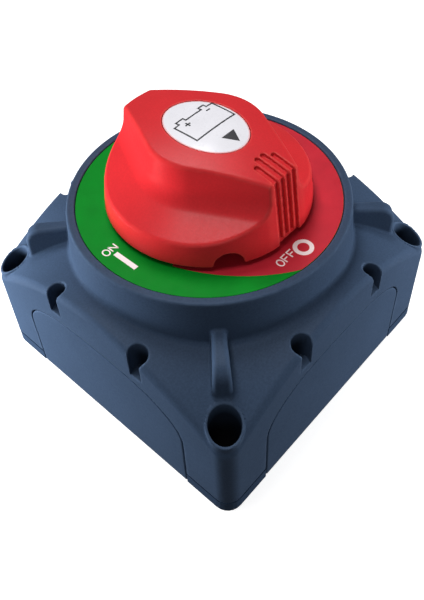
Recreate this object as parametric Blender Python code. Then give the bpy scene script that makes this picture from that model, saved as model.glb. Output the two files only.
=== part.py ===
"""Battery switch: a square surface-mount master switch with a quarter-turn knob.

The part stands on its back: +Z points out of the mounting panel, the underside of
the base plate lies on z = 0 and the knob turns about the Z axis. A reader of the
dial stands at -Y, where the OFF mark is; the ON mark is at -X. All dimensions in
the tables below are millimetres and are scaled to metres as each mesh is made.
A profile is a list of (radius, height) points, bottom to top unless it is closed.
"""
import math

import bmesh
import bpy
from mathutils import Matrix, Vector

MM = 0.001
FLAT_ANGLE = math.radians(0.1)
SMOOTH_ANGLE = math.radians(32)

# Cutters start below the base plate and end above the housing.
CUT_LOW = -1.0
CUT_HIGH = 46.0

# Body outline and heights.
BODY_HALF = 34.5
BODY_CORNER_R = 3.5
BASE_THICKNESS = 3.0
BASE_GAP = 0.3
SHOULDER_Z = 35.0
HIP_DROP = 11.6
HIP_AREA = 1100.0
HIP_POWER = 1.8
EDGE_ROUND = 0.8
WALL = 2.2
ROOF = 2.7
CAVITY_CORNER_R = 1.5
CLEARANCE = 0.3

# Collar round the dial.
COLLAR_LIP_Z = 43.05
COLLAR_LIP_IN = 27.6
COLLAR_LIP_OUT = 28.6
COLLAR_WALL = ((29.7, 37.2), (29.25, 42.3), (29.05, 42.9))
COLLAR_FILLET_OUT = 31.2
DECK_Z = 42.05
CEILING_Z = 39.3
DRUM_R = 26.0
BORE_COUNTER_R = 7.6
BORE_COUNTER_Z = 40.6

# Mounting holes, and radial ribs on the diagonals.
MOUNT_AT = 30.6
MOUNT_R = 3.1
TOWER_R = 5.0
RIB_HALF = 1.7
RIB_TOP_Z = 35.5
RIB_ROUND = 0.7
RIB_FOOT_Z = 20.0
RIB_START = 28.4
RIB_END = 38.6

# Sockets in the side walls that couple one switch to the next.
SOCKET_AT = 11.7
SOCKET_R = 1.95
SOCKET_INSET = 1.5
SOCKET_FLOOR_Z = 26.8
SOCKET_BOSS_R = 3.4

# Arched cable-entry panels.
PANEL_HALF = 22.8
PANEL_SPRING_Z = 15.5
PANEL_TOP_Z = 24.8
PANEL_BOTTOM_Z = 0.3
PANEL_GAP = 0.25
PANEL_IN = 31.4
OPENING_IN = 31.7
FLANGE_LIP = 1.7
FLANGE_OUT = 32.0
FLANGE_IN = 30.8
NOTCH_IN = 30.3
RAIL_IN = 28.7
RAIL_START = 23.2
RAIL_END = 26.4

# Dial label.
LABEL_R = 27.27
LABEL_BORE_R = 9.0
LABEL_BOTTOM_Z = 42.35
LABEL_TOP_Z = 42.75

# Knob: a cone, scooped out on both flanks to leave a grip with a crowned top.
KNOB_BOTTOM_Z = 43.7
KNOB_SKIRT_R = 21.2
KNOB_TAPER = 0.1234
CROWN_TOP_Z = 60.6
CROWN_AT_Y = -0.4
CROWN_CURVE = 150.0
GRIP_WAIST_R = 11.9
GRIP_END_HALF = 3.6
GRIP_END_Z = 58.0
GRIP_ROUND = 0.7
GRIP_ARC_STEPS = 28
GRIP_END_STEPS = 4
WALL_TOP_Z = 60.0
WALL_DRAFT = math.radians(6)
SCOOP_R = 4.5
LEDGE_SLOPE = math.radians(25)
LEDGE_START = (3.06, 51.42)
LEDGE_LENGTH = 9.0
RIM_ROUND = 0.45
SCOOP_STEPS = 9
KNOB_HOLLOW = ((7.6, 42.0), (18.8, 42.0), (18.0, 47.2), (7.6, 47.2))
SOCKET_TOP_Z = 52.3
NOTCH_ANGLE = math.radians(-127.5)
NOTCH_R = 2.9
NOTCH_REACH = (16.0, 23.0)

# Thumb grooves at the OFF end of the grip.
GROOVE_PITCH = 1.55
GROOVE_WIDTH = 0.9
GROOVE_DEPTH = 0.65
GROOVE_START = 13.0
GROOVE_ARC = 0.6
GROOVE_PLACES = (-1.5, -0.5, 0.5, 1.5)
FIN_BOTTOM_Z = 44.8

# Oval sticker on the crown, and the screw under it.
STICKER_HALF_X = 6.75
STICKER_HALF_Y = 9.35
STICKER_TOP = 0.02
STICKER_THICKNESS = 0.3
STICKER_GAP = 0.12
STICKER_ROUND = 0.08
SEAT_R = 3.9
SEAT_FLOOR_Z = 55.0
KNOB_SCREW_HOLE = (1.9, 50.0, 56.0)
KNOB_SCREW = ((1.3, 41.5), (1.5, 42.1), (1.5, 55.3), (3.5, 55.3), (3.5, 56.6), (2.9, 57.4),
              (1.6, 57.9))
KNOB_SCREW_SLOT_Z = 57.0

# Spindle, carrier and the pieces that turn with them.
SPINDLE_R = 5.5
SPINDLE_SQUARE = 8.0
SPINDLE_DRIVE_Z = (43.0, 52.0)
SPINDLE_KEY_Z = (36.3, 39.5)
SPINDLE_TAIL = ((3.1, 34.0), (3.4, 34.3), (3.4, 35.1), (2.7, 35.1), (2.7, 36.1), (3.4, 36.1),
                (3.4, 37.0))
SPINDLE_PILOT = (1.8, 40.5, 53.0)
CARRIER_R = 19.5
CARRIER_BOTTOM_Z = 36.4
CARRIER_TOP_Z = 39.0
CARRIER_FLAT = 18.9
CARRIER_FLAT_HALF = 12.0
LUG_X = (6.4, 9.6)
LUG_Y = (8.6, 15.4)
LUG_Z = (29.0, 36.9)
BRIDGE_HALF_WIDTH = 6.0
BRIDGE_HALF_LENGTH = 19.0
BRIDGE_END_REACH = 3.3
BRIDGE_BOTTOM_Z = 28.3
BRIDGE_TOP_Z = 31.3
BRIDGE_PAD = ((3.6, 28.3), (4.2, 28.7), (4.2, 30.3))
SPRING_R = 6.6
SPRING_WIRE_R = 0.5
SPRING_TURNS = 3.25
SPRING_STEPS_PER_TURN = 14
SPRING_SIDES = 5
SEAL_R = 6.55
SEAL_Z = 41.35
SEAL_HALF_WIDTH = 0.75
SEAL_HALF_HEIGHT = 0.6
RING_SECTION = ((2.95, 35.25), (5.2, 35.25), (5.2, 35.95), (2.95, 35.95))
RING_GAP_HALF = 1.6

# Contact block, terminals and the wall between them.
STUD_AT = 13.5
STUD_R = 4.9
STUD_BORE = 0.4
STUD_HEAD_HALF = 5.5
STUD_HEAD_Z = (24.4, 28.0)
STUD_END_Z = 5.3
STUD_CHAMFER = 0.8
BLOCK_HALF = 22.8
BLOCK_CORNER_R = 6.0
BLOCK_BOTTOM_Z = 21.0
BLOCK_TOP_Z = 27.0
FLAT_WASHER_R = 9.8
FLAT_WASHER_Z = (18.8, 20.7)
SPRING_WASHER_R = 8.3
SPRING_WASHER_Z = 16.0
SPRING_WASHER_HEIGHT = 2.0
SPRING_WASHER_LIFT = 0.5
NUT_ACROSS_FLATS = 17.0
NUT_Z = (7.9, 15.7)
NUT_CHAMFER = (0.9, 0.6)
BARRIER_HALF = 1.0
BARRIER_LENGTH_HALF = 21.0
BARRIER_BOTTOM_Z = 3.7
TONGUE_HALF = 12.0
TONGUE_TOP_Z = 23.3

# Screws.
BLOCK_SCREW_AT = 17.5
BASE_SCREW_AT = 24.0
BLOCK_POST_R = 3.2
BASE_POST_R = 3.0
SCREW_HOLE_R = 1.7
BLOCK_PILOT_Z = (20.0, 34.0)
BASE_PILOT_TOP_Z = 14.0
BASE_SCREW_SEAT = (3.0, 1.7)
BLOCK_SCREW = ((2.3, 18.9), (2.9, 19.5), (2.9, 20.7), (1.4, 20.7), (1.4, 32.4), (0.6, 33.4))
BASE_SCREW = ((2.6, 0.3), (2.6, 1.4), (1.4, 1.4), (1.4, 12.4), (0.6, 13.4))
SLOT_HALF = 0.4
SLOT_DEPTH = 0.6

# Leaf springs beside the rotor's rim.
LEAF_AT = 20.0
LEAF_HALF = 6.6
LEAF_THICKNESS = 0.4
LEAF_LEG = 23.0
LEAF_INSET_Z = 0.2
LEAF_POST_R = 0.9
LEAF_POST = (21.6, 8.0)

QUARTER_TURNS = (0, 1, 2, 3)
SIDES = (-1, 1)
CORNERS = ((-1, -1), (1, -1), (1, 1), (-1, 1))


# ---------------------------------------------------------------- mesh helpers

def add_object(name, mesh, location=(0.0, 0.0, 0.0), quarter=0):
    """Link a mesh as an object, placed in millimetres and turned in quarter turns."""
    item = bpy.data.objects.new(name, mesh)
    item.location = Vector(location) * MM
    item.rotation_euler = (0.0, 0.0, -quarter * math.pi / 2)
    bpy.context.scene.collection.objects.link(item)
    return item


def mesh_object(name, points, faces, location=(0.0, 0.0, 0.0)):
    """Make a closed solid from points in millimetres and faces, facing outwards."""
    mesh = bpy.data.meshes.new(name)
    shape = bmesh.new()
    corners = [shape.verts.new(Vector(point) * MM) for point in points]
    for face in faces:
        shape.faces.new([corners[index] for index in face])
    bmesh.ops.recalc_face_normals(shape, faces=shape.faces)
    warped = [face for face in shape.faces if len(face.verts) == 4]
    bmesh.ops.triangulate(shape, faces=warped)
    shape.to_mesh(mesh)
    shape.free()
    return add_object(name, mesh, location)


def lofted(name, loops, location=(0.0, 0.0, 0.0)):
    """Skin equal loops of points, bottom to top, and cap both ends."""
    count = len(loops[0])
    points = [point for loop in loops for point in loop]
    faces = []
    for row in range(len(loops) - 1):
        for column in range(count):
            after = (column + 1) % count
            faces.append((row * count + column, row * count + after,
                          (row + 1) * count + after, (row + 1) * count + column))
    faces.append(tuple(range(count - 1, -1, -1)))
    faces.append(tuple(range((len(loops) - 1) * count, len(loops) * count)))
    return mesh_object(name, points, faces, location)


def lofted_sections(name, angles, sections):
    """Skin a solid from one (radius, height) section for each plan angle."""
    loops = [[(radius * math.cos(angle), radius * math.sin(angle), height)
              for angle, (radius, height) in zip(angles, level)]
             for level in zip(*sections)]
    return lofted(name, loops)


def turned(name, profile, segments, location=(0.0, 0.0, 0.0)):
    """Turn a closed ring section of (radius, height) points about the Z axis."""
    count = len(profile)
    points = []
    for step in range(segments):
        angle = 2 * math.pi * step / segments
        for radius, height in profile:
            points.append((radius * math.cos(angle), radius * math.sin(angle), height))
    faces = []
    for step in range(segments):
        following = (step + 1) % segments
        for index in range(count):
            after = (index + 1) % count
            faces.append((step * count + index, following * count + index,
                          following * count + after, step * count + after))
    return mesh_object(name, points, faces, location)


def circle(radius, height, segments, start=0.0):
    """A level circle of points."""
    return [(radius * math.cos(start + 2 * math.pi * step / segments),
             radius * math.sin(start + 2 * math.pi * step / segments), height)
            for step in range(segments)]


def rod(name, profile, segments, location=(0.0, 0.0, 0.0), start=0.0):
    """A solid turned bar whose profile runs bottom to top."""
    return lofted(name, [circle(radius, height, segments, start) for radius, height in profile],
                  location)


def cylinder(name, radius, bottom, top, segments, at=(0.0, 0.0)):
    """An upright cylinder standing at a point of the plan."""
    return rod(name, ((radius, bottom), (radius, top)), segments, (at[0], at[1], 0.0))


def box(name, x_range, y_range, z_range):
    """A block between two limits on each axis."""
    base = [(x_range[0], y_range[0]), (x_range[1], y_range[0]),
            (x_range[1], y_range[1]), (x_range[0], y_range[1])]
    return lofted(name, [[(x, y, z) for x, y in base] for z in z_range])


def centred_box(name, half_x, half_y, z_range):
    """A block centred on the Z axis."""
    return box(name, (-half_x, half_x), (-half_y, half_y), z_range)


def prism(name, outline, bottom, top):
    """An upright prism over a plan outline."""
    return lofted(name, [[(x, y, z) for x, y in outline] for z in (bottom, top)])


def boolean(target, tool, operation):
    """Apply one exact Boolean to the target and take the tool away."""
    modifier = target.modifiers.new(operation.lower(), "BOOLEAN")
    modifier.operation = operation
    modifier.solver = "EXACT"
    modifier.object = tool
    bpy.context.view_layer.update()
    depsgraph = bpy.context.evaluated_depsgraph_get()
    result = bpy.data.meshes.new_from_object(target.evaluated_get(depsgraph))
    target.modifiers.remove(modifier)
    target.data = result
    bpy.data.objects.remove(tool)


def merge_flats(item):
    """Dissolve the seams that Booleans leave across faces that are really flat."""
    shape = bmesh.new()
    shape.from_mesh(item.data)
    bmesh.ops.dissolve_limit(shape, angle_limit=FLAT_ANGLE, verts=shape.verts, edges=shape.edges)
    bmesh.ops.triangulate(shape, faces=shape.faces)
    shape.to_mesh(item.data)
    shape.free()
    return item


def cut(target, *tools):
    """Take each tool away from the target."""
    for tool in tools:
        boolean(target, tool, "DIFFERENCE")


def join(target, *tools):
    """Weld each tool onto the target as one body."""
    for tool in tools:
        boolean(target, tool, "UNION")


def at_origin(item):
    """Move an object's placing into its mesh, so that copies can turn about the axis."""
    item.data.transform(Matrix.Translation(item.location))
    item.location = (0.0, 0.0, 0.0)
    return item


def turned_copies(source, name):
    """The source and three more copies of it at quarter turns about the Z axis."""
    return [source] + [add_object(name, source.data, source.location / MM, quarter)
                       for quarter in QUARTER_TURNS[1:]]


def at_corners(reach):
    """The four points of the plan at one distance from both middle planes."""
    return [(x_side * reach, y_side * reach) for x_side, y_side in CORNERS]


# ------------------------------------------------------------- outline helpers

def rounded_square_reach(angle, half, radius):
    """Distance from the centre to a rounded square's edge along a plan angle."""
    folded = angle % (math.pi / 2)
    if folded > math.pi / 4:
        folded = math.pi / 2 - folded
    straight = half - radius
    if half * math.tan(folded) <= straight:
        return half / math.cos(folded)
    along = straight * (math.cos(folded) + math.sin(folded))
    across = straight * (math.cos(folded) - math.sin(folded))
    return along + math.sqrt(max(radius ** 2 - across ** 2, 0.0))


def square_angles(half, radius, side_steps, corner_steps):
    """Plan angles round a rounded square, closer together at its corners."""
    corner = math.atan((half - radius) / half)
    quadrant = []
    for step in range(side_steps):
        quadrant.append(corner * step / side_steps)
    for step in range(corner_steps):
        quadrant.append(corner + (math.pi / 2 - 2 * corner) * step / corner_steps)
    for step in range(side_steps):
        quadrant.append(math.pi / 2 - corner + corner * step / side_steps)
    return [quarter * math.pi / 2 + angle for quarter in QUARTER_TURNS for angle in quadrant]


def rounded_square(half, radius, side_steps=1, corner_steps=6):
    """The plan outline of a rounded square."""
    outline = []
    for angle in square_angles(half, radius, side_steps, corner_steps):
        reach = rounded_square_reach(angle, half, radius)
        outline.append((reach * math.cos(angle), reach * math.sin(angle)))
    return outline


def hip_height(angle, radius):
    """Height of the shoulder surface, level at mid-side and falling to the corners."""
    x = radius * math.cos(angle)
    y = radius * math.sin(angle)
    return SHOULDER_Z - HIP_DROP * (abs(x * y) / HIP_AREA) ** HIP_POWER


def arch_outline(half, top, bottom, steps=18):
    """An upright arch: straight sides up to the springing, then a flattened curve."""
    rise = top - PANEL_SPRING_Z
    outline = [(-half, bottom)]
    for step in range(steps + 1):
        angle = math.pi * (1 - step / steps)
        reach = math.copysign(abs(math.cos(angle)) ** (2 / 3), math.cos(angle))
        outline.append((half * reach, PANEL_SPRING_Z + rise * math.sin(angle)))
    outline.append((half, bottom))
    return outline


def arch_block(name, half, top, bottom, outer, inner):
    """An arched plate on the -Y side between two depths from the axis."""
    outline = arch_outline(half, top, bottom)
    return lofted(name, [[(x, -depth, z) for x, z in outline] for depth in (outer, inner)])


# --------------------------------------------------------------------- housing

def shell_section(angle):
    """The shell's outer side along one plan angle: wall, shoulder, fillet and collar."""
    reach = rounded_square_reach(angle, BODY_HALF, BODY_CORNER_R)
    section = [(reach, BASE_THICKNESS + BASE_GAP)]
    for turn in (0, math.pi / 6, math.pi / 3, math.pi / 2):
        radius = reach - EDGE_ROUND * (1 - math.cos(turn))
        section.append((radius, hip_height(angle, radius) - EDGE_ROUND * (1 - math.sin(turn))))
    shoulder = reach - EDGE_ROUND
    for share in (1 / 3, 2 / 3, 1):
        radius = shoulder + (COLLAR_FILLET_OUT - shoulder) * share
        section.append((radius, hip_height(angle, radius)))
    fillet_z = section[-1][1]
    foot_r, foot_z = COLLAR_WALL[0]
    for share in (0.3, 0.6, 0.85):
        turn = share * math.pi / 2
        section.append((COLLAR_FILLET_OUT + (foot_r - COLLAR_FILLET_OUT) * math.sin(turn),
                        fillet_z + (foot_z - fillet_z) * (1 - math.cos(turn))))
    return section + list(COLLAR_WALL) + [(COLLAR_LIP_OUT, COLLAR_LIP_Z)]


def cavity_section(angle):
    """The hollow under the shell along one plan angle."""
    reach = rounded_square_reach(angle, BODY_HALF - WALL, CAVITY_CORNER_R)
    return [(reach, 0.0), (reach, hip_height(angle, reach) - ROOF),
            (DRUM_R, hip_height(angle, DRUM_R) - ROOF), (DRUM_R, CEILING_Z)]


def housing_cavity():
    """The hollow under the shell, less the posts, towers, bosses and rails inside it."""
    angles = square_angles(BODY_HALF - WALL, BODY_CORNER_R, 5, 3)
    cavity = lofted_sections("cavity", angles, [cavity_section(angle) for angle in angles])
    for at in at_corners(MOUNT_AT):
        cut(cavity, cylinder("tower", TOWER_R, CUT_LOW, CUT_HIGH, 20, at))
    for at in at_corners(BASE_SCREW_AT):
        cut(cavity, cylinder("base_post", BASE_POST_R, CUT_LOW, CUT_HIGH, 14, at))
    for at in at_corners(BLOCK_SCREW_AT):
        cut(cavity, cylinder("block_post", BLOCK_POST_R, BLOCK_TOP_Z + CLEARANCE, CUT_HIGH, 14, at))
    for x_side, y_side in CORNERS:
        at = (x_side * LEAF_POST[0], y_side * LEAF_POST[1])
        cut(cavity, cylinder("leaf_post", LEAF_POST_R, CARRIER_BOTTOM_Z, CUT_HIGH, 8, at))
    for side in SIDES:
        rail = box("rail", sorted((side * RAIL_START, side * RAIL_END)), (-BODY_HALF, -RAIL_IN),
                   (CUT_LOW, CUT_HIGH))
        cut(cavity, *turned_copies(rail, "rail"))
        boss = cylinder("boss", SOCKET_BOSS_R, SOCKET_FLOOR_Z - 1, CUT_HIGH, 16,
                        (side * SOCKET_AT, SOCKET_INSET - BODY_HALF))
        cut(cavity, *turned_copies(at_origin(boss), "boss"))
    return merge_flats(cavity)


def rib_block():
    """One radial rib with a level, rounded top that runs along the +X axis."""
    outer = RIB_ROUND * 0.93
    inner = RIB_ROUND * 0.3
    half = [(RIB_HALF, RIB_TOP_Z - RIB_ROUND), (RIB_HALF - inner, RIB_TOP_Z - inner),
            (RIB_HALF - outer, RIB_TOP_Z)]
    section = [(-RIB_HALF, RIB_FOOT_Z), (RIB_HALF, RIB_FOOT_Z)] + half
    section += [(-y, z) for y, z in reversed(half)]
    stations = ((RIB_START, 0.0, 1.0), (RIB_END - outer, 0.0, 1.0), (RIB_END - inner, inner, 0.9),
                (RIB_END, RIB_ROUND, 0.75))
    loops = []
    for reach, drop, narrow in stations:
        loops.append([(reach, y * narrow, z if z == RIB_FOOT_Z else z - drop) for y, z in section])
    return lofted("rib", loops)


def build_housing():
    """The moulded body: shell, ribs, holes, openings and the spindle bore."""
    angles = square_angles(BODY_HALF, BODY_CORNER_R, 6, 5)
    housing = lofted_sections("housing", angles, [shell_section(angle) for angle in angles])
    for x_side, y_side in CORNERS:
        rib = rib_block()
        rib.data.transform(Matrix.Rotation(math.atan2(y_side, x_side), 4, "Z"))
        join(housing, rib)
    cut(housing, housing_cavity())
    bore = SPINDLE_R + CLEARANCE
    cut(housing,
        cylinder("recess", COLLAR_LIP_IN, DECK_Z, CUT_HIGH, 64),
        rod("bore", [(bore, CEILING_Z - 1), (bore, BORE_COUNTER_Z),
                     (BORE_COUNTER_R, BORE_COUNTER_Z), (BORE_COUNTER_R, DECK_Z + 1)], 28))
    opening = arch_block("opening", PANEL_HALF + PANEL_GAP, PANEL_TOP_Z + PANEL_GAP, CUT_LOW,
                         BODY_HALF + 1, OPENING_IN)
    groove = arch_block("groove", PANEL_HALF + FLANGE_LIP + CLEARANCE,
                        PANEL_TOP_Z + FLANGE_LIP + CLEARANCE, CUT_LOW,
                        FLANGE_OUT + CLEARANCE, FLANGE_IN - CLEARANCE)
    cut(housing, *turned_copies(opening, "opening"), *turned_copies(groove, "groove"))
    for side in SIDES:
        socket = cylinder("socket", SOCKET_R, SOCKET_FLOOR_Z, CUT_HIGH, 18,
                          (side * SOCKET_AT, SOCKET_INSET - BODY_HALF))
        cut(housing, *turned_copies(at_origin(socket), "socket"))
    for at in at_corners(MOUNT_AT):
        cut(housing, cylinder("mount_hole", MOUNT_R, CUT_LOW, CUT_HIGH, 24, at))
    for at in at_corners(BASE_SCREW_AT):
        cut(housing, cylinder("pilot", SCREW_HOLE_R, CUT_LOW, BASE_PILOT_TOP_Z, 10, at))
    for at in at_corners(BLOCK_SCREW_AT):
        cut(housing, cylinder("pilot", SCREW_HOLE_R, BLOCK_PILOT_Z[0], BLOCK_PILOT_Z[1], 10, at))
    return merge_flats(housing)


def build_base_plate():
    """The back plate with side notches for the panels and four corner holes."""
    plate = prism("base_plate", rounded_square(BODY_HALF, BODY_CORNER_R), 0.0, BASE_THICKNESS)
    skin_half = PANEL_HALF + PANEL_GAP
    flange_half = PANEL_HALF + FLANGE_LIP + CLEARANCE
    notch_z = (CUT_LOW, BASE_THICKNESS + 1)
    for half, outer in ((skin_half, BODY_HALF + 1), (flange_half, FLANGE_OUT + CLEARANCE)):
        notch = box("notch", (-half, half), (-outer, -NOTCH_IN), notch_z)
        cut(plate, *turned_copies(notch, "notch"))
    seat_r, seat_top = BASE_SCREW_SEAT
    for mount, screw in zip(at_corners(MOUNT_AT), at_corners(BASE_SCREW_AT)):
        cut(plate,
            cylinder("mount_hole", MOUNT_R, CUT_LOW, BASE_THICKNESS + 1, 24, mount),
            cylinder("screw_hole", SCREW_HOLE_R, CUT_LOW, BASE_THICKNESS + 1, 10, screw),
            cylinder("screw_seat", seat_r, CUT_LOW, seat_top, 14, screw))
    return merge_flats(plate)


def build_panels():
    """Four arched panels whose rear flanges slide down the housing's grooves."""
    front = arch_block("panel_front", PANEL_HALF, PANEL_TOP_Z, PANEL_BOTTOM_Z, BODY_HALF, PANEL_IN)
    join(front, arch_block("flange", PANEL_HALF + FLANGE_LIP, PANEL_TOP_Z + FLANGE_LIP,
                           PANEL_BOTTOM_Z, FLANGE_OUT, FLANGE_IN))
    names = ("panel_left", "panel_back", "panel_right")
    return [front] + [add_object(name, front.data, (0.0, 0.0, 0.0), quarter)
                      for name, quarter in zip(names, QUARTER_TURNS[1:])]


# ------------------------------------------------------------------------ knob

def cone_reach(height):
    """Radius of the knob's cone at a height."""
    return KNOB_SKIRT_R - KNOB_TAPER * (height - KNOB_BOTTOM_Z)


def crown_height(angle, radius):
    """Height of the domed surface that tops the grip."""
    x = radius * math.cos(angle)
    y = radius * math.sin(angle) - CROWN_AT_Y
    return CROWN_TOP_Z - (x * x + y * y) / CROWN_CURVE


def end_corner():
    """Plan angle between the end's middle line and its corner, and the corner's radius."""
    radius = cone_reach(GRIP_END_Z)
    return math.asin(GRIP_END_HALF / radius), radius


def grip_angles():
    """Plan angles round the grip with a point on each corner of its two ends."""
    corner, _ = end_corner()
    angles = []
    for heading in (-math.pi / 2, math.pi / 2):
        for step in range(GRIP_END_STEPS):
            angles.append(heading - corner + 2 * corner * step / GRIP_END_STEPS)
        for step in range(GRIP_ARC_STEPS):
            angles.append(heading + corner + (math.pi - 2 * corner) * step / GRIP_ARC_STEPS)
    return angles


def grip_lean(angle):
    """Plan angle between a ray and the square-on line to the grip's side wall."""
    corner, radius = end_corner()
    tangent = corner + math.acos(GRIP_WAIST_R / radius)
    from_end = abs(math.remainder(angle - math.pi / 2, math.pi))
    return max(0.0, tangent - max(from_end, corner))


def scoop_path():
    """(distance out from the grip's side, height) points down a flank to past the rim."""
    ledge_x, ledge_z = LEDGE_START
    path = []
    for step in range(6):
        slope = math.pi / 2 - WALL_DRAFT
        slope += (LEDGE_SLOPE - slope) * step / 5
        path.append((ledge_x - SCOOP_R * (math.sin(slope) - math.sin(LEDGE_SLOPE)),
                     ledge_z + SCOOP_R * (math.cos(LEDGE_SLOPE) - math.cos(slope))))
    foot_x, foot_z = path[0]
    top = (foot_x - (WALL_TOP_Z - foot_z) * math.tan(WALL_DRAFT), WALL_TOP_Z)
    end = (ledge_x + LEDGE_LENGTH * math.cos(LEDGE_SLOPE),
           ledge_z - LEDGE_LENGTH * math.sin(LEDGE_SLOPE))
    return [top] + path + [end]


def along_path(path, distance):
    """The point a distance along a path of straight runs."""
    for start, end in zip(path, path[1:]):
        length = math.dist(start, end)
        if distance <= length:
            break
        distance -= length
    share = distance / length
    return (start[0] + (end[0] - start[0]) * share, start[1] + (end[1] - start[1]) * share)


def rim_distance(path, lean):
    """How far down the scoop its surface meets the knob's cone."""
    low = 0.0
    high = sum(math.dist(start, end) for start, end in zip(path, path[1:]))
    for _ in range(30):
        middle = (low + high) / 2
        out, height = along_path(path, middle)
        if (GRIP_WAIST_R + out) / math.cos(lean) < cone_reach(height):
            low = middle
        else:
            high = middle
    return low


def end_face_reach(angle, height):
    """Radius of the flat, slightly leaning face that closes the OFF end."""
    _, top_r = end_corner()
    top = math.sqrt(top_r ** 2 - GRIP_END_HALF ** 2)
    foot = math.sqrt(KNOB_SKIRT_R ** 2 - GRIP_END_HALF ** 2)
    share = (height - KNOB_BOTTOM_Z) / (GRIP_END_Z - KNOB_BOTTOM_Z)
    return (foot + (top - foot) * share) / abs(math.sin(angle))


def flank_section(angle, path):
    """The knob's side along one plan angle: cone, rim, scoop and the grip's wall."""
    lean = grip_lean(angle)
    edge_z = crown_height(angle, GRIP_WAIST_R / math.cos(lean)) - GRIP_ROUND
    start = (WALL_TOP_Z - edge_z) / math.cos(WALL_DRAFT)
    stop = max(rim_distance(path, lean), start + 0.1 * SCOOP_STEPS)
    trim = min(RIM_ROUND, (stop - start) / SCOOP_STEPS)
    rim_z = along_path(path, stop)[1]
    section = [(KNOB_SKIRT_R, KNOB_BOTTOM_Z), (cone_reach(rim_z - trim), rim_z - trim)]
    for step in range(SCOOP_STEPS + 1):
        share = step / SCOOP_STEPS
        out, height = along_path(path, stop - trim + (start - stop + trim) * share)
        section.append(((GRIP_WAIST_R + out) / math.cos(lean), height))
    return section


def end_section(angle, corner_section):
    """The knob's side across one of the grip's ends, level with the corner's points."""
    if math.sin(angle) > 0:
        return [(cone_reach(height), height) for _, height in corner_section]
    return [(end_face_reach(angle, height), height) for _, height in corner_section]


def sticker_reach(angle, margin):
    """Distance from the axis to the oval sticker's edge, widened by a margin."""
    x = math.cos(angle) / (STICKER_HALF_X + margin)
    y = math.sin(angle) / (STICKER_HALF_Y + margin)
    return 1 / math.hypot(x, y)


def top_section(angle, side):
    """The grip's rounded edge, its crowned top and the oval seat sunk into it."""
    wall_r, wall_z = side[-1]
    section = []
    for turn in (math.pi / 4, math.pi / 2):
        radius = wall_r - GRIP_ROUND * (1 - math.cos(turn))
        section.append((radius, wall_z + GRIP_ROUND * math.sin(turn)))
    edge = wall_r - GRIP_ROUND
    seat = sticker_reach(angle, STICKER_GAP)
    for share in (1 / 3, 2 / 3, 1):
        radius = edge + (seat - edge) * share
        section.append((radius, crown_height(angle, radius)))
    sink = STICKER_THICKNESS + CLEARANCE
    inner = SEAT_R - 1
    section.append((seat, crown_height(angle, seat) - sink))
    section.append((inner, crown_height(angle, inner) - sink))
    return section


def knob_body():
    """The knob's outer form."""
    angles = grip_angles()
    corner, _ = end_corner()
    path = scoop_path()
    corner_sections = {}
    for heading in SIDES:
        corner_sections[heading] = flank_section(heading * math.pi / 2 + corner, path)
    sections = []
    for angle in angles:
        from_end = abs(math.remainder(angle - math.pi / 2, math.pi))
        if from_end < corner - 0.001:
            side = end_section(angle, corner_sections[1 if math.sin(angle) > 0 else -1])
        else:
            side = flank_section(angle, path)
        sections.append(side + top_section(angle, side))
    return lofted_sections("knob", angles, sections)


def groove_cutter(place):
    """One thumb groove: in from the top of the OFF end and down its end face."""
    start = -(GROOVE_START + GROOVE_ARC * place ** 2)
    top_z = crown_height(-math.pi / 2, -start)
    end_y = -end_face_reach(-math.pi / 2, GRIP_END_Z) + GROOVE_DEPTH
    foot_y = -end_face_reach(-math.pi / 2, KNOB_BOTTOM_Z) + GROOVE_DEPTH
    end_z = crown_height(-math.pi / 2, -end_y) - GROOVE_DEPTH
    outline = [(start, CROWN_TOP_Z + 1), (start, top_z - GROOVE_DEPTH / 2),
               (start - GROOVE_DEPTH, top_z - GROOVE_DEPTH), (end_y, end_z),
               (foot_y, KNOB_BOTTOM_Z - 1), (foot_y - 4, KNOB_BOTTOM_Z - 1),
               (foot_y - 4, CROWN_TOP_Z + 1)]
    middle = place * GROOVE_PITCH
    return lofted("groove", [[(x, y, z) for y, z in outline]
                             for x in (middle - GROOVE_WIDTH / 2, middle + GROOVE_WIDTH / 2)])


def sight_notch():
    """A round-topped notch through the skirt that shows the dial's colour."""
    turns = [2 * math.pi * step / 16 for step in range(16)]
    notch = lofted("notch", [[(reach, NOTCH_R * math.cos(turn),
                               KNOB_BOTTOM_Z + NOTCH_R * math.sin(turn)) for turn in turns]
                             for reach in NOTCH_REACH])
    notch.data.transform(Matrix.Rotation(NOTCH_ANGLE, 4, "Z"))
    return notch


def build_knob():
    """The knob with its screw seat, square socket, hollow, sight notch and grooves."""
    knob = knob_body()
    hole_r, hole_bottom, hole_top = KNOB_SCREW_HOLE
    socket = SPINDLE_SQUARE / 2 + CLEARANCE
    cut(knob,
        cylinder("screw_seat", SEAT_R, SEAT_FLOOR_Z, CROWN_TOP_Z + 1, 20),
        cylinder("screw_hole", hole_r, hole_bottom, hole_top, 12),
        centred_box("socket", socket, socket, (KNOB_BOTTOM_Z - 1, SOCKET_TOP_Z)),
        turned("hollow", KNOB_HOLLOW, 40),
        sight_notch())
    for place in GROOVE_PLACES:
        cut(knob, groove_cutter(place))
    fins = GROOVE_PLACES[-1] * GROOVE_PITCH
    foot = end_face_reach(-math.pi / 2, KNOB_BOTTOM_Z) - GROOVE_DEPTH
    cut(knob, box("fin_foot", (-fins, fins), (-foot - 2, -foot), (KNOB_BOTTOM_Z - 1, FIN_BOTTOM_Z)))
    return merge_flats(knob)


def oval_points(share, lift):
    """Points of the sticker's outline, drawn in by a share and laid on the crown."""
    points = []
    for step in range(48):
        angle = 2 * math.pi * step / 48
        radius = sticker_reach(angle, 0.0) * share
        points.append((radius * math.cos(angle), radius * math.sin(angle),
                       crown_height(angle, radius) + lift))
    return points


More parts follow.
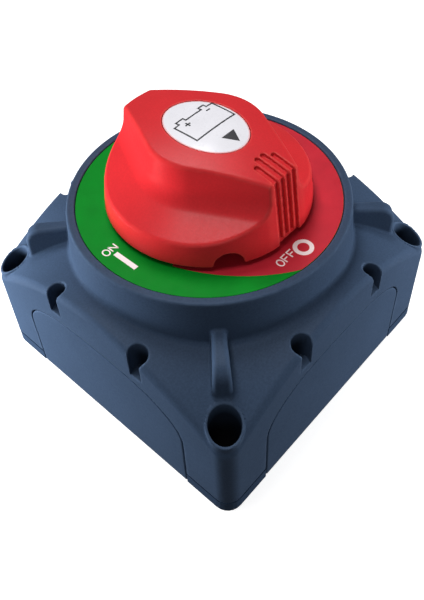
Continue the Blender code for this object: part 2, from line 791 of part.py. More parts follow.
def build_knob_fittings():
    """The oval label on the grip and the screw under it."""
    bottom = STICKER_TOP - STICKER_THICKNESS
    edge = 1 - STICKER_ROUND / STICKER_HALF_X
    label = lofted("knob_label", [oval_points(0.5, bottom), oval_points(1.0, bottom),
                                  oval_points(1.0, STICKER_TOP - STICKER_ROUND),
                                  oval_points(edge, STICKER_TOP), oval_points(0.5, STICKER_TOP)])
    screw = rod("knob_screw", KNOB_SCREW, 16)
    cut(screw, centred_box("slot", SEAT_R, SLOT_HALF, (KNOB_SCREW_SLOT_Z, CROWN_TOP_Z)))
    return [label, screw]


# --------------------------------------------------------------------- spindle

def build_spindle():
    """Journal with a square at each end and a grooved tail for the retaining ring."""
    square = SPINDLE_SQUARE / 2
    spindle = cylinder("spindle", SPINDLE_R, CARRIER_TOP_Z, KNOB_BOTTOM_Z - CLEARANCE, 28)
    join(spindle,
         centred_box("drive", square, square, SPINDLE_DRIVE_Z),
         centred_box("key", square, square, SPINDLE_KEY_Z),
         rod("tail", SPINDLE_TAIL, 20))
    pilot_r, pilot_bottom, pilot_top = SPINDLE_PILOT
    cut(spindle, cylinder("pilot", pilot_r, pilot_bottom, pilot_top, 12))
    return spindle


def build_carrier():
    """The flatted disc keyed on the spindle, with lugs that drive the bridge."""
    carrier = cylinder("rotor_carrier", CARRIER_R, CARRIER_BOTTOM_Z, CARRIER_TOP_Z, 64)
    flat = box("flat", (-CARRIER_FLAT_HALF, CARRIER_FLAT_HALF), (-CARRIER_R - 1, -CARRIER_FLAT),
               (CARRIER_BOTTOM_Z - 1, CARRIER_TOP_Z + 1))
    cut(carrier, *turned_copies(flat, "flat"))
    key = SPINDLE_SQUARE / 2 + CLEARANCE
    cut(carrier, centred_box("key", key, key, (CARRIER_BOTTOM_Z - 1, CARRIER_TOP_Z + 1)))
    for x_side, y_side in CORNERS:
        join(carrier, box("lug", sorted(x_side * x for x in LUG_X), sorted(y_side * y for y in LUG_Y),
                          LUG_Z))
    return carrier


def build_bridge():
    """The round-ended copper bridge with a contact pad at each end."""
    turns = [math.pi * step / 12 for step in range(13)]
    straight = BRIDGE_HALF_LENGTH - BRIDGE_END_REACH
    end = [(BRIDGE_HALF_WIDTH * math.cos(turn), straight + BRIDGE_END_REACH * math.sin(turn))
           for turn in turns]
    outline = end + [(-x, -y) for x, y in end]
    bridge = prism("contact_bridge", outline, BRIDGE_PAD[1][1], BRIDGE_TOP_Z)
    for side in SIDES:
        join(bridge, rod("pad", BRIDGE_PAD, 16, (0.0, side * STUD_AT, 0.0)))
    return bridge


def build_contact_spring():
    """An open coil between the carrier and the contact bridge."""
    steps = int(SPRING_TURNS * SPRING_STEPS_PER_TURN)
    low = BRIDGE_TOP_Z + CLEARANCE + SPRING_WIRE_R
    high = CARRIER_BOTTOM_Z - CLEARANCE - SPRING_WIRE_R
    sides = [2 * math.pi * side / SPRING_SIDES for side in range(SPRING_SIDES)]
    loops = []
    for step in range(steps + 1):
        share = step / steps
        angle = 2 * math.pi * SPRING_TURNS * share
        height = low + (high - low) * share
        loop = []
        for side in sides:
            radius = SPRING_R + SPRING_WIRE_R * math.cos(side)
            loop.append((radius * math.cos(angle), radius * math.sin(angle),
                         height + SPRING_WIRE_R * math.sin(side)))
        loops.append(loop)
    return lofted("contact_spring", loops)


def build_seal_and_ring():
    """The O-ring round the spindle and the clip that holds the spindle in."""
    turns = [2 * math.pi * step / 8 for step in range(8)]
    seal = turned("shaft_seal", [(SEAL_R + SEAL_HALF_WIDTH * math.cos(turn),
                                  SEAL_Z + SEAL_HALF_HEIGHT * math.sin(turn)) for turn in turns], 28)
    ring = turned("retaining_ring", RING_SECTION, 20)
    cut(ring, box("gap", (-RING_GAP_HALF, RING_GAP_HALF), (-SPINDLE_R - 1, 0.0),
                  (CARRIER_BOTTOM_Z - 2, CARRIER_BOTTOM_Z)))
    return [seal, ring]


# ------------------------------------------------------------------- terminals

def build_contact_block():
    """The moulded block that carries both studs and screws to the housing."""
    block = prism("contact_block", rounded_square(BLOCK_HALF, BLOCK_CORNER_R),
                  BLOCK_BOTTOM_Z, BLOCK_TOP_Z)
    pocket = STUD_HEAD_HALF + CLEARANCE
    above = BLOCK_TOP_Z + 1
    below = BLOCK_BOTTOM_Z - 1
    for side in SIDES:
        centre = side * STUD_AT
        cut(block,
            box("pocket", (centre - pocket, centre + pocket), (-pocket, pocket),
                (STUD_HEAD_Z[0] - CLEARANCE, above)),
            cylinder("stud_hole", STUD_R + CLEARANCE, below, above, 20, (centre, 0.0)))
    for at in at_corners(BLOCK_SCREW_AT):
        cut(block, cylinder("screw_hole", SCREW_HOLE_R, below, above, 10, at))
    cut(block, centred_box("groove", BARRIER_HALF + CLEARANCE, TONGUE_HALF + CLEARANCE,
                           (below, TONGUE_TOP_Z + CLEARANCE)))
    return block


def build_barrier():
    """The insulating wall between the two terminals."""
    barrier = centred_box("terminal_barrier", BARRIER_HALF, BARRIER_LENGTH_HALF,
                          (BARRIER_BOTTOM_Z, BLOCK_BOTTOM_Z - CLEARANCE))
    join(barrier, centred_box("tongue", BARRIER_HALF, TONGUE_HALF,
                              (BLOCK_BOTTOM_Z - 1, TONGUE_TOP_Z)))
    return barrier


def build_split_washer():
    """A sprung, split ring whose two ends are offset in height."""
    steps = 24
    gap = math.radians(10)
    inner = STUD_R + STUD_BORE
    loops = []
    for step in range(steps + 1):
        angle = gap + 2 * (math.pi - gap) * step / steps
        low = SPRING_WASHER_Z + SPRING_WASHER_LIFT * step / steps
        high = low + SPRING_WASHER_HEIGHT
        loops.append([(radius * math.cos(angle), radius * math.sin(angle), height)
                      for radius, height in ((inner, low), (SPRING_WASHER_R, low),
                                             (SPRING_WASHER_R, high), (inner, high))])
    return lofted("spring_washer_left", loops, (-STUD_AT, 0.0, 0.0))


def build_nut():
    """A chamfered hex nut."""
    corner_r = NUT_ACROSS_FLATS / 2 / math.cos(math.pi / 6)
    narrow, rise = NUT_CHAMFER
    bottom, top = NUT_Z
    nut = rod("hex_nut_left", [(corner_r - narrow, bottom), (corner_r, bottom + rise),
                               (corner_r, top - rise), (corner_r - narrow, top)], 6,
              (-STUD_AT, 0.0, 0.0), math.pi / 6)
    cut(nut, cylinder("bore", STUD_R + STUD_BORE, bottom - 1, top + 1, 20, (-STUD_AT, 0.0)))
    return nut


def build_terminals():
    """Two square-headed studs, each with a flat washer, a spring washer and a nut."""
    at = (-STUD_AT, 0.0, 0.0)
    head = STUD_HEAD_HALF
    inner = STUD_R + STUD_BORE
    stud = rod("stud_left", [(STUD_R - STUD_CHAMFER, STUD_END_Z), (STUD_R, STUD_END_Z + STUD_CHAMFER),
                             (STUD_R, STUD_HEAD_Z[0] + 1)], 24, at)
    join(stud, box("head", (-STUD_AT - head, -STUD_AT + head), (-head, head), STUD_HEAD_Z))
    low, high = FLAT_WASHER_Z
    washer = turned("flat_washer_left", [(inner, low), (FLAT_WASHER_R, low), (FLAT_WASHER_R, high),
                                         (inner, high)], 28, at)
    left = [stud, washer, build_split_washer(), build_nut()]
    right = [add_object(item.name.replace("left", "right"), item.data, (STUD_AT, 0.0, 0.0))
             for item in left]
    return left + right


def build_screws():
    """Screws that hold the contact block and the base plate to the housing."""
    screws = []
    for stem, profile, reach in (("block_screw_", BLOCK_SCREW, BLOCK_SCREW_AT),
                                 ("base_screw_", BASE_SCREW, BASE_SCREW_AT)):
        first = rod(stem + "1", profile, 12)
        bottom = profile[0][1]
        cut(first, centred_box("slot", SEAT_R, SLOT_HALF, (bottom - 1, bottom + SLOT_DEPTH)))
        for index, (x, y) in enumerate(at_corners(reach)):
            item = first if index == 0 else add_object(stem + str(index + 1), first.data)
            item.location = (x * MM, y * MM, 0.0)
            screws.append(item)
    return screws


def build_leaf_springs():
    """Two leaf springs whose bent legs sit between posts beside the rotor's flats."""
    inner = LEAF_AT - LEAF_THICKNESS / 2
    outer = LEAF_AT + LEAF_THICKNESS / 2
    leg_in = LEAF_HALF - LEAF_THICKNESS / 2
    leg_out = LEAF_HALF + LEAF_THICKNESS / 2
    outline = [(LEAF_LEG, -leg_out), (inner, -leg_out), (inner, leg_out), (LEAF_LEG, leg_out),
               (LEAF_LEG, leg_in), (outer, leg_in), (outer, -leg_in), (LEAF_LEG, -leg_in)]
    right = prism("detent_spring_right", outline, CARRIER_BOTTOM_Z + LEAF_INSET_Z,
                  CARRIER_TOP_Z - LEAF_INSET_Z)
    return [right, add_object("detent_spring_left", right.data, (0.0, 0.0, 0.0), 2)]


def build_label():
    """The dial label, a thin ring set into the collar."""
    return turned("label_disc", [(LABEL_BORE_R, LABEL_BOTTOM_Z), (LABEL_R, LABEL_BOTTOM_Z),
                                 (LABEL_R, LABEL_TOP_Z), (LABEL_BORE_R, LABEL_TOP_Z)], 64)


# ------------------------------------------------------------------- materials

# Each finish is a linear colour, a roughness and a metallic value.
FINISHES = {
    "housing": ((0.030, 0.048, 0.082, 1.0), 0.48, 0.0),
    "base_plate": ((0.022, 0.030, 0.045, 1.0), 0.55, 0.0),
    "panel": ((0.034, 0.053, 0.088, 1.0), 0.48, 0.0),
    "label_disc": ((0.010, 0.250, 0.030, 1.0), 0.35, 0.0),
    "knob": ((0.620, 0.022, 0.020, 1.0), 0.32, 0.0),
    "knob_label": ((0.800, 0.800, 0.840, 1.0), 0.30, 0.0),
    "spindle": ((0.020, 0.020, 0.022, 1.0), 0.40, 0.0),
    "rotor_carrier": ((0.550, 0.520, 0.440, 1.0), 0.45, 0.0),
    "shaft_seal": ((0.012, 0.012, 0.012, 1.0), 0.70, 0.0),
    "contact_block": ((0.110, 0.035, 0.020, 1.0), 0.50, 0.0),
    "terminal_barrier": ((0.500, 0.480, 0.420, 1.0), 0.50, 0.0),
    "contact_bridge": ((0.780, 0.350, 0.180, 1.0), 0.28, 1.0),
    "stud": ((0.620, 0.600, 0.560, 1.0), 0.25, 1.0),
    "flat_washer": ((0.600, 0.600, 0.600, 1.0), 0.30, 1.0),
    "spring_washer": ((0.560, 0.560, 0.570, 1.0), 0.30, 1.0),
    "hex_nut": ((0.600, 0.590, 0.580, 1.0), 0.30, 1.0),
    "screw": ((0.560, 0.560, 0.560, 1.0), 0.32, 1.0),
    "spring": ((0.520, 0.520, 0.540, 1.0), 0.28, 1.0),
    "retaining_ring": ((0.520, 0.520, 0.540, 1.0), 0.28, 1.0),
}


def apply_finish(item):
    """Give an object its own Principled BSDF material."""
    key = max((key for key in FINISHES if key in item.name), key=len)
    colour, roughness, metallic = FINISHES[key]
    material = bpy.data.materials.new(item.name)
    material.use_nodes = True
    shader = material.node_tree.nodes["Principled BSDF"]
    shader.inputs["Base Color"].default_value = colour
    shader.inputs["Roughness"].default_value = roughness
    shader.inputs["Metallic"].default_value = metallic
    item.data.materials.clear()
    item.data.materials.append(material)
    for face in item.data.polygons:
        face.material_index = 0


def shade(item):
    """Smooth shading that breaks at the piece's real edges."""
    item.data.shade_smooth()
    item.data.set_sharp_from_angle(angle=SMOOTH_ANGLE)


def hang_from_empty(name, items):
    """Parent moving pieces to an empty on their joint's axis."""
    empty = bpy.data.objects.new(name, None)
    bpy.context.scene.collection.objects.link(empty)
    for item in items:
        item.parent = empty


def main():
    """Build every piece and hang the moving ones from empties on their joint axes."""
    for item in list(bpy.data.objects):
        bpy.data.objects.remove(item)
    rotor = [build_knob(), build_spindle(), build_carrier(), build_bridge(), build_contact_spring()]
    rotor += build_knob_fittings() + build_seal_and_ring()
    panels = build_panels()
    fixed = [build_housing(), build_base_plate(), build_label(), build_contact_block(),
             build_barrier()]
    fixed += build_terminals() + build_screws() + build_leaf_springs()
    for item in fixed + rotor + panels:
        apply_finish(item)
        shade(item)
    hang_from_empty("knob_axis", rotor)
    for panel in panels:
        hang_from_empty(panel.name + "_slide", [panel])


main()
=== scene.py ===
"""Battery switch: the looks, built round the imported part.

The moulded pieces (housing, cable panels, knob) are solids described by distance fields,
negative inside, and skinned with a surface net, so that every edge has its mould radius.
Shapes are worked out in millimetres and scaled to metres when a mesh is made.
"""

import math

import bmesh
import bpy
import numpy as np
from mathutils import Matrix, Vector


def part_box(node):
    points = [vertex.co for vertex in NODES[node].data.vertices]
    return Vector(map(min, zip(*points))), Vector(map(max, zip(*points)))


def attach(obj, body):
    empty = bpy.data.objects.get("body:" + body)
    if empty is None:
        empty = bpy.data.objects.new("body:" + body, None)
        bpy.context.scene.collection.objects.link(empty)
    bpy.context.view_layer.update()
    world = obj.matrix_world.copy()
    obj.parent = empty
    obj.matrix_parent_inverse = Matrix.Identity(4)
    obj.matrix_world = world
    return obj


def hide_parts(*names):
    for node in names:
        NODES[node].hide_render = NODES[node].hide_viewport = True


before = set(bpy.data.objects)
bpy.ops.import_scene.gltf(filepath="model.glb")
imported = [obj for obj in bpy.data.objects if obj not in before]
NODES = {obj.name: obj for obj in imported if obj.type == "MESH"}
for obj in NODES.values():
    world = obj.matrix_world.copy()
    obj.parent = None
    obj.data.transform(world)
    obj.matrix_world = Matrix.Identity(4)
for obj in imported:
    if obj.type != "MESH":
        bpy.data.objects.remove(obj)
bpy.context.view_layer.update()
MM = 0.001


def node_box(name):
    """A CAD node's lowest and highest corner in millimetres."""
    low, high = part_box(name)
    return low / MM, high / MM


# Sizes that the frame gives.
HOUSING_LOW, HOUSING_HIGH = node_box("housing")
LABEL_LOW, LABEL_HIGH = node_box("label_disc")
KNOB_LOW, KNOB_HIGH = node_box("knob")
STICKER_HIGH = node_box("knob_label")[1]
PANEL_LOW, PANEL_HIGH = node_box("panel_front")
BODY_HALF = HOUSING_HIGH.x
BODY_BOTTOM = HOUSING_LOW.z
LIP_Z = HOUSING_HIGH.z
LABEL_R = LABEL_HIGH.x
LABEL_TOP = LABEL_HIGH.z
KNOB_BOTTOM = KNOB_LOW.z
SKIRT_R = KNOB_HIGH.x
STICKER_HALF_X = STICKER_HIGH.x
STICKER_HALF_Y = STICKER_HIGH.y

# Housing outline. AT is a distance from the axis, R a radius, Z a height above the mounting face.
BODY_CORNER_R = 3.5
SHOULDER_Z = 35.0
HIP_DROP = 11.6
HIP_AREA = 1100.0
HIP_POWER = 1.8
EDGE_ROUND = 1.4
COLLAR_FOOT = (29.7, 37.2)
COLLAR_LEAN = 0.088
COLLAR_ROUND = 0.5
COLLAR_FILLET = 0.8
LIP_IN = 27.42
DECK_Z = 42.05
MOUNT_AT = 30.6
MOUNTS = (MOUNT_AT, MOUNT_AT)
MOUNT_R = 3.1
MOUNT_RING_R = 3.65
MOUNT_RING_SLOPE = 0.1
MOUNT_RING_FILLET = 0.15
RIB_HALF = 1.3
RIB_FLARE = 0.03
RIB_DRAFT = 0.05
RIB_TOP_Z = 36.55
RIB_SLOPE = 0.05
RIB_START = 28.4
RIB_END = 39.25
RIB_NOSE = 3.1
RIB_ROUND = 0.85
RIB_FILLET = 0.5
SOCKET_AT = 11.7
SOCKET_R = 1.95
SOCKET_INSET = 1.5
SOCKET_FLOOR_Z = 26.8
SEAM = 0.25
FINE_ROUND = 0.3
HOUSING_GRID = 0.33
HOUSING_KEEP = 0.35

# Inside the housing.
WALL = 2.2
ROOF = 2.7
INNER_CORNER_R = 1.5
DRUM_R = 26.0
CEILING_Z = 39.3
TOWER_R = 5.0
BASE_POST_AT = (24.0, 24.0)
BASE_POST_R = 3.0
BLOCK_POST_AT = (17.5, 17.5)
BLOCK_POST_R = 3.2
BLOCK_POST_Z = 27.3
SPRING_PIN_AT = (21.6, 8.0)
SPRING_PIN_R = 0.9
SPRING_PIN_Z = 36.4
RAIL_AT = 24.8
RAIL_HALF = 1.6
RAIL_IN = 28.7
BOSS_R = 3.4
BOSS_Z = SOCKET_FLOOR_Z - 1
SHAFT_BORE_R = 5.8
SHAFT_BORE_Z = CEILING_Z - 1
COUNTERBORE_R = 7.6
COUNTERBORE_Z = 40.6
PILOT_R = 1.7
BASE_PILOT_Z = 14.0
BLOCK_PILOT_Z = 34.0

# Arched cable panels.
PANEL_HALF = 22.8
PANEL_SPRING_Z = 15.5
PANEL_TOP_Z = 24.8
PANEL_IN = 31.4
PANEL_ROUND = 0.25
OPENING_ROUND = 0.2
FLANGE_LIP = 1.7
FLANGE_AT = 31.4
FLANGE_HALF = 0.6
FLANGE_ROUND = 0.2
SLOT_HALF = 0.9
SLOT_PLAY = 0.3
PANEL_GRID = 0.3

# Knob.
KNOB_TAPER = 0.1234
CROWN_TOP_Z = 60.6
CROWN_AT_Y = -0.4
CROWN_CURVE = 150.0
WAIST_R = 11.9
GRIP_END_HALF = 3.6
GRIP_END_Z = 58.0
GRIP_ROUND = 0.75
WALL_DRAFT = math.radians(6)
SCOOP_R = 4.5
LEDGE_SLOPE = math.radians(25)
LEDGE_START = (3.06, 51.42)
RIM_ROUND = 0.5
END_ROUND = 0.4
FOOT_ROUND = 0.35
GROOVE_PLACES = (0.5, 1.5)
GROOVE_PITCH = 1.6
GROOVE_HALF = 0.56
GROOVE_DEPTH = 0.6
GROOVE_ROUND = 0.16
GROOVE_START = 13.2
GROOVE_ARC = 0.6
FIN_BOTTOM_Z = 44.8
NOTCH_ANGLE = math.radians(-127.5)
NOTCH_R = 2.9
NOTCH_START = 16.0
NOTCH_ROUND = 0.3
SEAT_DEPTH = 0.6
SEAT_MARGIN = 0.12
SEAT_ROUND = 0.1
HUB_R = 7.6
CAVITY_R = 18.8
CAVITY_TAPER = 0.154
CAVITY_FOOT_Z = 42.0
CAVITY_TOP_Z = 47.2
DRIVE_HALF = 4.3
DRIVE_TOP_Z = 52.3
SCREW_R = 1.9
SCREW_TOP_Z = 56.0
SCREW_HEAD_R = 3.9
SCREW_HEAD_Z = 55.0
KNOB_GRID = 0.24

# Dial: the swirl is the arc that parts the red field from the green.
DIAL_BORE_R = 9.0
DIAL_INK = 0.02
RED_BORE_R = 9.1
RED_INSET = 0.02
SWIRL_CENTRE = Vector((15.65, 3.92))
SWIRL_R = 36.76
SWIRL_TAIL = math.radians(-157)
SWIRL_SPAN = math.radians(240)
SWIRL_STEPS = 200
BAR_X = (-24.35, -23.3)
BAR_Y = (-3.3, 2.4)
RING_AT = (0.3, -23.8)
RING_IN = 1.17
RING_OUT = 2.03
WORD_STROKE = 0.26
LETTER_TALL = 1.6
LETTER_GAP = 0.45
F_ARM_SHARE = 0.52
F_ARM_CUT = 0.2
# Each word: piece, letters, left edge, foot, width of a letter.
DIAL_WORDS = (("mark_word_on", "ON", -25.5, 3.05, 1.3), ("mark_word_off", "OFF", -6.2, -23.75, 1.2))

# Sticker.
STICKER_SINK = 0.11
STICKER_DEPTH = 0.2
STICKER_BORDER = 0.22
BORDER_DROP = 0.02
INK = 0.03
INK_SINK = 0.05
BATTERY_X = (-4.46, 6.03)
BATTERY_Y = (-2.03, 3.8)
POST_TOP_Y = 4.63
LEFT_POST_X = (-3.2, -1.35)
RIGHT_POST_X = (2.94, 4.4)
PLUS_MINUS = ([(-2.75, 2.55), (-1.45, 2.55)], [(-2.1, 1.9), (-2.1, 3.2)], [(3.3, 2.75), (4.3, 2.75)])
BATTERY_STROKE = 0.33
STROKE_STEP = 0.8
POINTER_TIP = Vector((0.68, -7.95))
POINTER_BASE = (Vector((-1.03, -4.95)), Vector((2.4, -4.95)))
POINTER_ROWS = 8
POINTER_REACH = 8.1


# --------------------------------------------------------------- distance fields

def meet(a, b, radius):
    """Where both solids are, with the edge between them rounded."""
    return np.minimum(np.maximum(a, b), -radius) + np.hypot(np.maximum(a + radius, 0),
                                                            np.maximum(b + radius, 0))


def weld(a, b, radius):
    """Either solid, with a fillet where they join."""
    return np.maximum(np.minimum(a, b), radius) - np.hypot(np.maximum(radius - a, 0),
                                                           np.maximum(radius - b, 0))


def carve(solid, tool, radius=0.0):
    """The solid less the tool, with the new edge rounded."""
    return meet(solid, -tool, radius) if radius else np.maximum(solid, -tool)


def rounded_square(x, y, half, radius):
    """Distance to a square with round corners."""
    across = np.abs(x) - (half - radius)
    along = np.abs(y) - (half - radius)
    outside = np.hypot(np.maximum(across, 0), np.maximum(along, 0))
    return outside + np.minimum(np.maximum(across, along), 0) - radius


def post(x, y, at, radius):
    """Distance to four upright posts, one in each quarter of the plan."""
    return np.hypot(np.abs(x) - at[0], np.abs(y) - at[1]) - radius


def arch(along, z, half, top):
    """Distance to an arch: straight sides up to the springing, then a flattened curve."""
    rise = top - PANEL_SPRING_Z
    side = np.abs(along)
    up = np.maximum(z - PANEL_SPRING_Z, 0)
    level = (side / half) ** 3 + (up / rise) ** 2 - 1
    slope = np.hypot(3 * side ** 2 / half ** 3, 2 * up / rise ** 2)
    return np.where(z < PANEL_SPRING_Z, side - half, level / np.maximum(slope, 0.02))


def hip(x, y, z):
    """Distance above the shoulder surface, which falls away to the corners."""
    spread = np.abs(x * y) / HIP_AREA
    height = SHOULDER_Z - HIP_DROP * spread ** HIP_POWER
    slope = HIP_DROP * HIP_POWER / HIP_AREA * spread ** (HIP_POWER - 1) * np.hypot(x, y)
    return (z - height) / np.sqrt(1 + slope ** 2)


def on_each_wall(x, y, shape):
    """The union of a shape on the X walls and on the Y walls: shape(along, depth)."""
    return np.minimum(shape(x, np.abs(y)), shape(y, np.abs(x)))


def socket_axis(along, depth):
    """Plan distance to the coupling sockets of one wall."""
    return np.hypot(np.abs(along) - SOCKET_AT, depth - (BODY_HALF - SOCKET_INSET))


def housing_hollow(x, y, z):
    """The space inside the housing, less its towers, posts, pins, rails and bosses."""
    rho = np.hypot(x, y)
    room = rounded_square(x, y, BODY_HALF - WALL, INNER_CORNER_R)
    hollow = np.maximum(room, hip(x, y, z) + ROOF)
    hollow = np.minimum(hollow, np.maximum(rho - DRUM_R, z - CEILING_Z))
    solids = np.minimum(post(x, y, MOUNTS, TOWER_R), post(x, y, BASE_POST_AT, BASE_POST_R))
    block_posts = np.maximum(post(x, y, BLOCK_POST_AT, BLOCK_POST_R), BLOCK_POST_Z - z)
    spring_pins = np.maximum(post(x, y, SPRING_PIN_AT, SPRING_PIN_R), SPRING_PIN_Z - z)
    solids = np.minimum(np.minimum(solids, block_posts), spring_pins)
    rails = on_each_wall(x, y, lambda along, depth: np.maximum(
        np.abs(np.abs(along) - RAIL_AT) - RAIL_HALF, RAIL_IN - depth))
    bosses = np.maximum(on_each_wall(x, y, socket_axis) - BOSS_R, BOSS_Z - z)
    return carve(hollow, np.minimum(np.minimum(solids, rails), bosses))


def housing_envelope(x, y, z):
    """The housing's outer shape, with no holes in it."""
    rho = np.hypot(x, y)
    top = hip(x, y, z)
    walls = rounded_square(x, y, BODY_HALF, BODY_CORNER_R)
    body = meet(walls, top, EDGE_ROUND)
    along = (np.abs(x) + np.abs(y)) * math.sqrt(0.5)
    past_hole = np.maximum(along - (MOUNT_AT * math.sqrt(2) - MOUNT_R), 0)
    ring = np.maximum(post(x, y, MOUNTS, MOUNT_RING_R), top - MOUNT_RING_SLOPE * past_hole)
    body = weld(body, np.maximum(ring, walls), MOUNT_RING_FILLET)
    wall = rho - COLLAR_FOOT[0] + COLLAR_LEAN * (z - COLLAR_FOOT[1])
    body = weld(body, meet(wall, z - LIP_Z, COLLAR_ROUND), COLLAR_FILLET)
    across = np.abs(np.abs(x) - np.abs(y)) * math.sqrt(0.5)
    rib_top = RIB_TOP_Z - RIB_SLOPE * (along - RIB_START)
    side = across - RIB_HALF - RIB_FLARE * (along - RIB_START) - RIB_DRAFT * (RIB_TOP_Z - z)
    rib = meet(side, meet(z - rib_top, along - RIB_END, RIB_NOSE), RIB_ROUND)
    body = weld(body, np.maximum(rib, RIB_START - along), RIB_FILLET)
    return meet(body, BODY_BOTTOM - z, FINE_ROUND)


def housing_field(x, y, z):
    """The moulded housing, with its holes, panel openings and inside."""
    rho = np.hypot(x, y)
    body = housing_envelope(x, y, z)
    body = carve(body, np.maximum(rho - LIP_IN, DECK_Z - z), FINE_ROUND)
    body = carve(body, post(x, y, MOUNTS, MOUNT_R), FINE_ROUND)
    socket = np.maximum(on_each_wall(x, y, socket_axis) - SOCKET_R, SOCKET_FLOOR_Z - z)
    body = carve(body, socket, FINE_ROUND)
    opening = on_each_wall(x, y, lambda along, depth: np.maximum(
        arch(along, z, PANEL_HALF + SEAM, PANEL_TOP_Z + SEAM), PANEL_IN + SLOT_PLAY - depth))
    body = carve(body, opening, OPENING_ROUND)
    slot = on_each_wall(x, y, lambda along, depth: np.maximum(
        arch(along, z, PANEL_HALF + FLANGE_LIP + SLOT_PLAY, PANEL_TOP_Z + FLANGE_LIP + SLOT_PLAY),
        np.abs(depth - FLANGE_AT) - SLOT_HALF))
    body = carve(body, slot)
    body = carve(body, housing_hollow(x, y, z))
    bore = np.minimum(rho - SHAFT_BORE_R, np.maximum(rho - COUNTERBORE_R, COUNTERBORE_Z - z))
    body = carve(body, np.maximum(bore, SHAFT_BORE_Z - z))
    base_pilots = np.maximum(post(x, y, BASE_POST_AT, PILOT_R), z - BASE_PILOT_Z)
    block_pilots = np.maximum(post(x, y, BLOCK_POST_AT, PILOT_R), z - BLOCK_PILOT_Z)
    return carve(body, np.minimum(base_pilots, block_pilots))


def panel_field(x, y, z):
    """The front cable panel: an arched plate with a wider flange behind it."""
    depth = -y
    plate = meet(arch(x, z, PANEL_HALF, PANEL_TOP_Z), depth - BODY_HALF, PANEL_ROUND)
    plate = meet(plate, PANEL_LOW.z - z, OPENING_ROUND)
    plate = np.maximum(plate, PANEL_IN - depth)
    flange = meet(arch(x, z, PANEL_HALF + FLANGE_LIP, PANEL_TOP_Z + FLANGE_LIP),
                  np.abs(depth - FLANGE_AT) - FLANGE_HALF, FLANGE_ROUND)
    return np.maximum(np.minimum(plate, flange), PANEL_LOW.z - z)


def cone_reach(z):
    """Radius of the knob's cone at a height."""
    return SKIRT_R - KNOB_TAPER * (z - KNOB_BOTTOM)


def crown_z(x, y):
    """Height of the domed surface that tops the grip."""
    return CROWN_TOP_Z - (x * x + (y - CROWN_AT_Y) ** 2) / CROWN_CURVE


def scoop(x, y, z):
    """The grip's two flanks: a drafted wall, a fillet and a sloping ledge."""
    end_r = SKIRT_R - KNOB_TAPER * (GRIP_END_Z - KNOB_BOTTOM)
    tangent = math.asin(GRIP_END_HALF / end_r) + math.acos(WAIST_R / end_r)
    from_end = np.arctan2(np.abs(x), np.abs(y))
    out = np.hypot(x, y) * np.cos(np.maximum(tangent - from_end, 0)) - WAIST_R
    wall_n = (math.cos(WALL_DRAFT), math.sin(WALL_DRAFT))
    ledge_n = (math.sin(LEDGE_SLOPE), math.cos(LEDGE_SLOPE))
    centre = tuple(at + SCOOP_R * n for at, n in zip(LEDGE_START, ledge_n))
    from_x = out - centre[0]
    from_z = z - centre[1]
    wall = from_x * wall_n[0] + from_z * wall_n[1] + SCOOP_R
    ledge = from_x * ledge_n[0] + from_z * ledge_n[1] + SCOOP_R
    below_wall = from_x * wall_n[1] - from_z * wall_n[0] > 0
    inside_ledge = from_z * ledge_n[0] - from_x * ledge_n[1] > 0
    fillet = SCOOP_R - np.hypot(from_x, from_z)
    return np.where(below_wall & inside_ledge, fillet, np.minimum(wall, ledge))


def end_face(y, z):
    """Distance beyond the flat, leaning face at the OFF end of the grip."""
    top_y = math.sqrt((SKIRT_R - KNOB_TAPER * (GRIP_END_Z - KNOB_BOTTOM)) ** 2 - GRIP_END_HALF ** 2)
    foot_y = math.sqrt(SKIRT_R ** 2 - GRIP_END_HALF ** 2)
    lean = (foot_y - top_y) / (GRIP_END_Z - KNOB_BOTTOM)
    return (-y - foot_y + lean * (z - KNOB_BOTTOM)) / math.hypot(1, lean)


def sticker_oval(x, y, margin):
    """Rough distance to the sticker's oval, widened by a margin."""
    half_x = STICKER_HALF_X + margin
    half_y = STICKER_HALF_Y + margin
    return (np.hypot(x / half_x, y / half_y) - 1) * half_x


def knob_hollow(x, y, z):
    """The space inside the knob: a ring round the hub, a square drive hole and a screw hole."""
    rho = np.hypot(x, y)
    cavity = np.maximum(HUB_R - rho, rho - CAVITY_R + CAVITY_TAPER * (z - CAVITY_FOOT_Z))
    cavity = np.maximum(cavity, z - CAVITY_TOP_Z)
    drive = np.maximum(np.maximum(np.abs(x), np.abs(y)) - DRIVE_HALF, z - DRIVE_TOP_Z)
    screw = np.maximum(rho - SCREW_R, z - SCREW_TOP_Z)
    head = np.maximum(rho - SCREW_HEAD_R, SCREW_HEAD_Z - z)
    return np.minimum(np.minimum(np.minimum(cavity, drive), screw), head)


